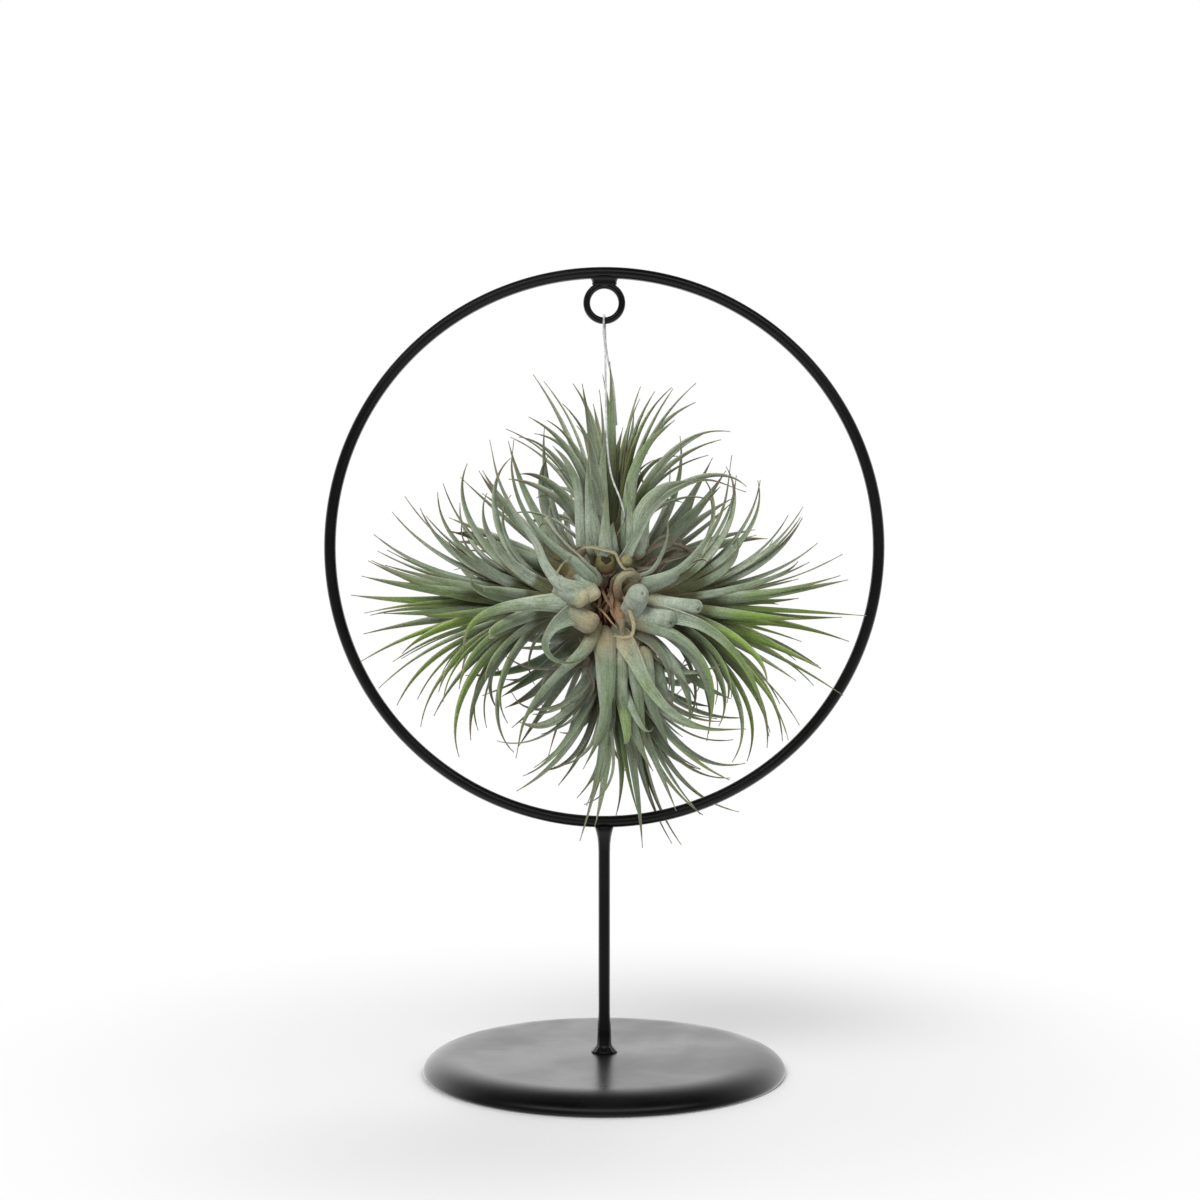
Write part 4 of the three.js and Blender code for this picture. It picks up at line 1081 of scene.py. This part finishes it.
LOBES = [  # rounded sheaths at the hollow: both ends, radius, taper, tint and how brown the end is
    ((-16.5, -11.8, 6.2), (-5.6, -13.5, 0.4), 3.5, 0.04, 0.95, 0.0),
    ((-8.5, -9.5, 10), (-2.8, -12, 0.8), 2.9, -0.04, 0.85, 0.12),
    ((-13, -9, -2), (-2.4, -11.5, -8.4), 3.9, 0.0, 0.5, 0.60),
    ((3, -2, -10), (13.5, -4, -15.5), 3.8, 0.1, 0.1, 1.0),
]
BUDS = [  # middle from the middle of the crown, half sizes, the way it points, and tint from olive to cream
    ((0.4, -9.5, 13.2), (3.7, 3.6, 4.6), (0.05, -0.75, 0.4), 0.15),
    ((7.4, -10.5, 14.0), (2.3, 2.2, 2.7), (0.2, -0.8, 0.3), 0.95),
]
BUD_DENT = 1.6  # depth of the dent in an olive bud's end


def build_stems():
    positions, faces = lumpy(np.array(CROWN_SIZE) - CROWN_INSET, CLUMP, (0, 0, 1), 0.06, 4, 72, 48)
    off = positions - CLUMP - HOLLOW_MIDDLE
    near = np.hypot(off[:, 0] / HOLLOW_SIZE[0], off[:, 2] / HOLLOW_SIZE[1])
    depth = np.where(positions[:, 1] < CLUMP[1], np.clip(HOLLOW_RIM - near, 0, 1), 0)
    positions[:, 1] += HOLLOW_DEPTH * depth
    hollow = np.minimum(1, depth * 2)
    add_piece("crown_stem", positions, faces, OLD_STEM, {"hollow": hollow})
    for name, rosette in ROSETTES.items():
        middle = CLUMP + directions(rosette.axis)[0] * (rosette.start + 1)
        positions, faces = lumpy(CORE_SIZE, middle, rosette.axis, 0.05, rosette.seed, 32, 20)
        plain = {"hollow": np.zeros(len(positions))}
        add_piece(name + "_core", positions, faces, OLD_STEM, plain)


def stub(start, end, radius, seed, taper, pitted=True):
    """A blunt, slightly flat leaf stub with a rounded end and perhaps a small pit in it: its points, its
    faces, how far along it each point is, and how deep in the pit."""
    start, end = CLUMP + start, CLUMP + end
    along, first, second = directions(end - start)
    length = np.linalg.norm(end - start)
    share, turn = ring_grid(STUB_STEPS, STUB_AROUND)
    cap = np.clip((share * length - (length - radius)) / radius, 0, 1)
    out = radius * (1 - taper * share) * np.sqrt(1 - cap ** 2.6)
    ways = first * np.cos(turn) * STUB_FLAT + second * np.sin(turn)
    lump = 1 + 0.05 * waves(seed)(ways + along * share)
    sag = np.array([0, 0, STUB_BEND]) * np.sin(math.pi * share)
    positions = start + along * share * length + ways * out * lump - sag
    pit = end + radius * (along * PIT_PLACE[0] + first * PIT_PLACE[1] + second * PIT_PLACE[2])
    apart = np.linalg.norm(positions - pit, axis=1)
    pits = np.clip(PIT_RIM - apart / (PIT_RADIUS * radius), 0, 1) * pitted
    positions = positions - np.outer(pits * PIT_DEPTH * radius, along)
    return positions, capped_tube(STUB_STEPS + 1, STUB_AROUND), share[:, 0], pits


def add_sheath(name, positions, faces, **settings):
    """A piece of leaf without a channel. The leaf values that aren't given are 0."""
    values = {key: np.zeros(len(positions)) + settings.get(key, 0.0) for key in LEAF_VALUES}
    add_piece(name, positions, faces, LEAF, values)


def build_stubs():
    for k, (start, end, radius, taper) in enumerate(SHOWN_STUBS):
        positions, faces, share, pits = stub(start, end, radius, 50 + k, taper)
        # The pit gets painted shade through deep, on top of its dent
        add_sheath(f"leaf_stub_{k + 1}", positions, faces, along=0.45 * share, tint=0.9,
                   deep=np.clip(pits * 1.3, 0, 1), cream=0.16, straw=0.6 * pits)


def build_lobes():
    for k, (start, end, radius, taper, tint, brown) in enumerate(LOBES):
        positions, faces, share, _ = stub(start, end, radius, 60 + k, taper, False)
        add_sheath(f"sheath_lobe_{k + 1}", positions, faces, along=0.30 * (1 - share), tint=tint,
                   cream=0.12 + 0.26 * brown, straw=0.5 * brown * share)


def build_buds():
    for k, (middle, sizes, axis, tint) in enumerate(BUDS):
        place = CLUMP + middle
        positions, faces = lumpy(sizes, place, axis, 0.05, 70 + k, 40, 28)
        along = directions(axis)[0]
        share = (positions - place).dot(along) / (2 * sizes[2]) + 0.5
        dent = BUD_DENT * (1 - tint) * smooth_step(share, BUD_OPENING - 0.03, 0.99)
        values = {"along": share, "tint": np.full(len(positions), tint)}
        add_piece(f"bud_{k + 1}", positions - np.outer(dent, along), faces, BUD, values)


# Floor, light and camera

FLOOR_FADE = (0.08, 0.27)  # metres from the foot's middle between which the floor fades into the white studio
LAMPS = [  # name, place in metres, size in metres, watts
    ("key", (-0.55, -0.95, 1.30), 1.0, 32.0),
    ("fill", (1.1, -0.9, 0.5), 1.0, 5.5),
    ("rim", (0.5, 0.9, 1.2), 0.6, 12.0),
]
AIM = (0.0, 0.0, 0.16)
CAMERA_PLACE = (-0.00153, -0.820, 0.2011)
CAMERA_DOWN = 2.2  # degrees below the horizon
CAMERA_LENS = 68.93


def build_floor():
    bpy.ops.mesh.primitive_plane_add(size=3, location=(0, 0, 0))
    floor = bpy.context.object
    floor.name = "floor"
    s = Surface("pale_floor")
    place = s.place()
    grain = s.noise(place, 900.0, 2.0)
    colour = s.mix(s.ramp(grain, 0.3, 0.7), (0.483, 0.483, 0.483), (0.493, 0.493, 0.493))
    s.finish(Base_Color=colour, Roughness=0.6, Specular_IOR_Level=0.15)
    away = s.add("VectorMath", {0: place}, output="Value", operation="LENGTH")
    white = s.add("Emission", {"Color": (1, 1, 1), "Strength": 1.0})
    blend = s.add("MixShader", {0: s.ramp(away, *FLOOR_FADE), 1: s.shader.outputs[0], 2: white})
    s.put(s.tree.nodes["Material Output"].inputs["Surface"], blend)
    floor.data.materials.append(s.material)
    floor.visible_glossy = False


def build_world():
    """A white studio, plain white as a backdrop, that lights the object from behind and above. Reflections
    see it bright behind the object and low down, and dim in front with one softbox."""
    world = bpy.data.worlds.new("white_studio")
    world.use_nodes = True
    bpy.context.scene.world = world
    n = Nodes(world.node_tree)
    back = n.add("SeparateXYZ", {0: n.add("TexCoord", output="Generated")}, output="Y")
    height = back.node.outputs["Z"]
    light = n.plus(n.ramp(back, -0.1, 0.75, 0.10, 0.95), n.ramp(height, 0.1, 0.9, 0.0, 0.45))
    behind = n.times(n.ramp(back, -0.1, 0.75, 0.12, 1.60), n.ramp(height, 0.24, 0.85, 1.0, 0.12))
    below = n.ramp(height, -0.7, 0.0, 0.5, 0.0)
    band = n.times(n.ramp(height, 0.42, 0.58), n.ramp(height, 0.68, 0.84, 1.0, 0.0))
    softbox = n.times(band, n.ramp(back, -0.65, -0.2, 1.0, 0.0))
    mirrored = n.plus(n.plus(behind, below), softbox)
    strength = n.mix_numbers(n.add("LightPath", output="Is Glossy Ray"), light, mirrored)
    strength = n.mix_numbers(n.add("LightPath", output="Is Camera Ray"), strength, 1.0)
    background = world.node_tree.nodes["Background"]
    n.put(background.inputs["Color"], (1, 1, 1))
    n.put(background.inputs["Strength"], strength)


def build_lamps():
    for name, place, size, watts in LAMPS:
        lamp = bpy.data.lights.new(name, "AREA")
        lamp.shape = "SQUARE"
        lamp.size = size
        lamp.energy = watts
        light = bpy.data.objects.new(name, lamp)
        light.location = place
        light.visible_glossy = False
        light.rotation_euler = (Vector(AIM) - Vector(place)).to_track_quat("-Z", "Y").to_euler()
        bpy.context.scene.collection.objects.link(light)
    bpy.context.scene.view_settings.view_transform = "Standard"


def build_camera():
    data = bpy.data.cameras.new("camera")
    data.sensor_width = 36
    data.lens = CAMERA_LENS
    camera = bpy.data.objects.new("camera", data)
    camera.location = CAMERA_PLACE
    camera.rotation_euler = (math.radians(90 - CAMERA_DOWN), 0, 0)
    bpy.context.scene.collection.objects.link(camera)
    bpy.context.scene.camera = camera


build_camera()
build_line()
build_stand()
build_leaves(clump.leaves)
build_dried()
build_sheaths()
build_stems()
build_stubs()
build_lobes()
build_buds()
build_floor()
build_world()
build_lamps()
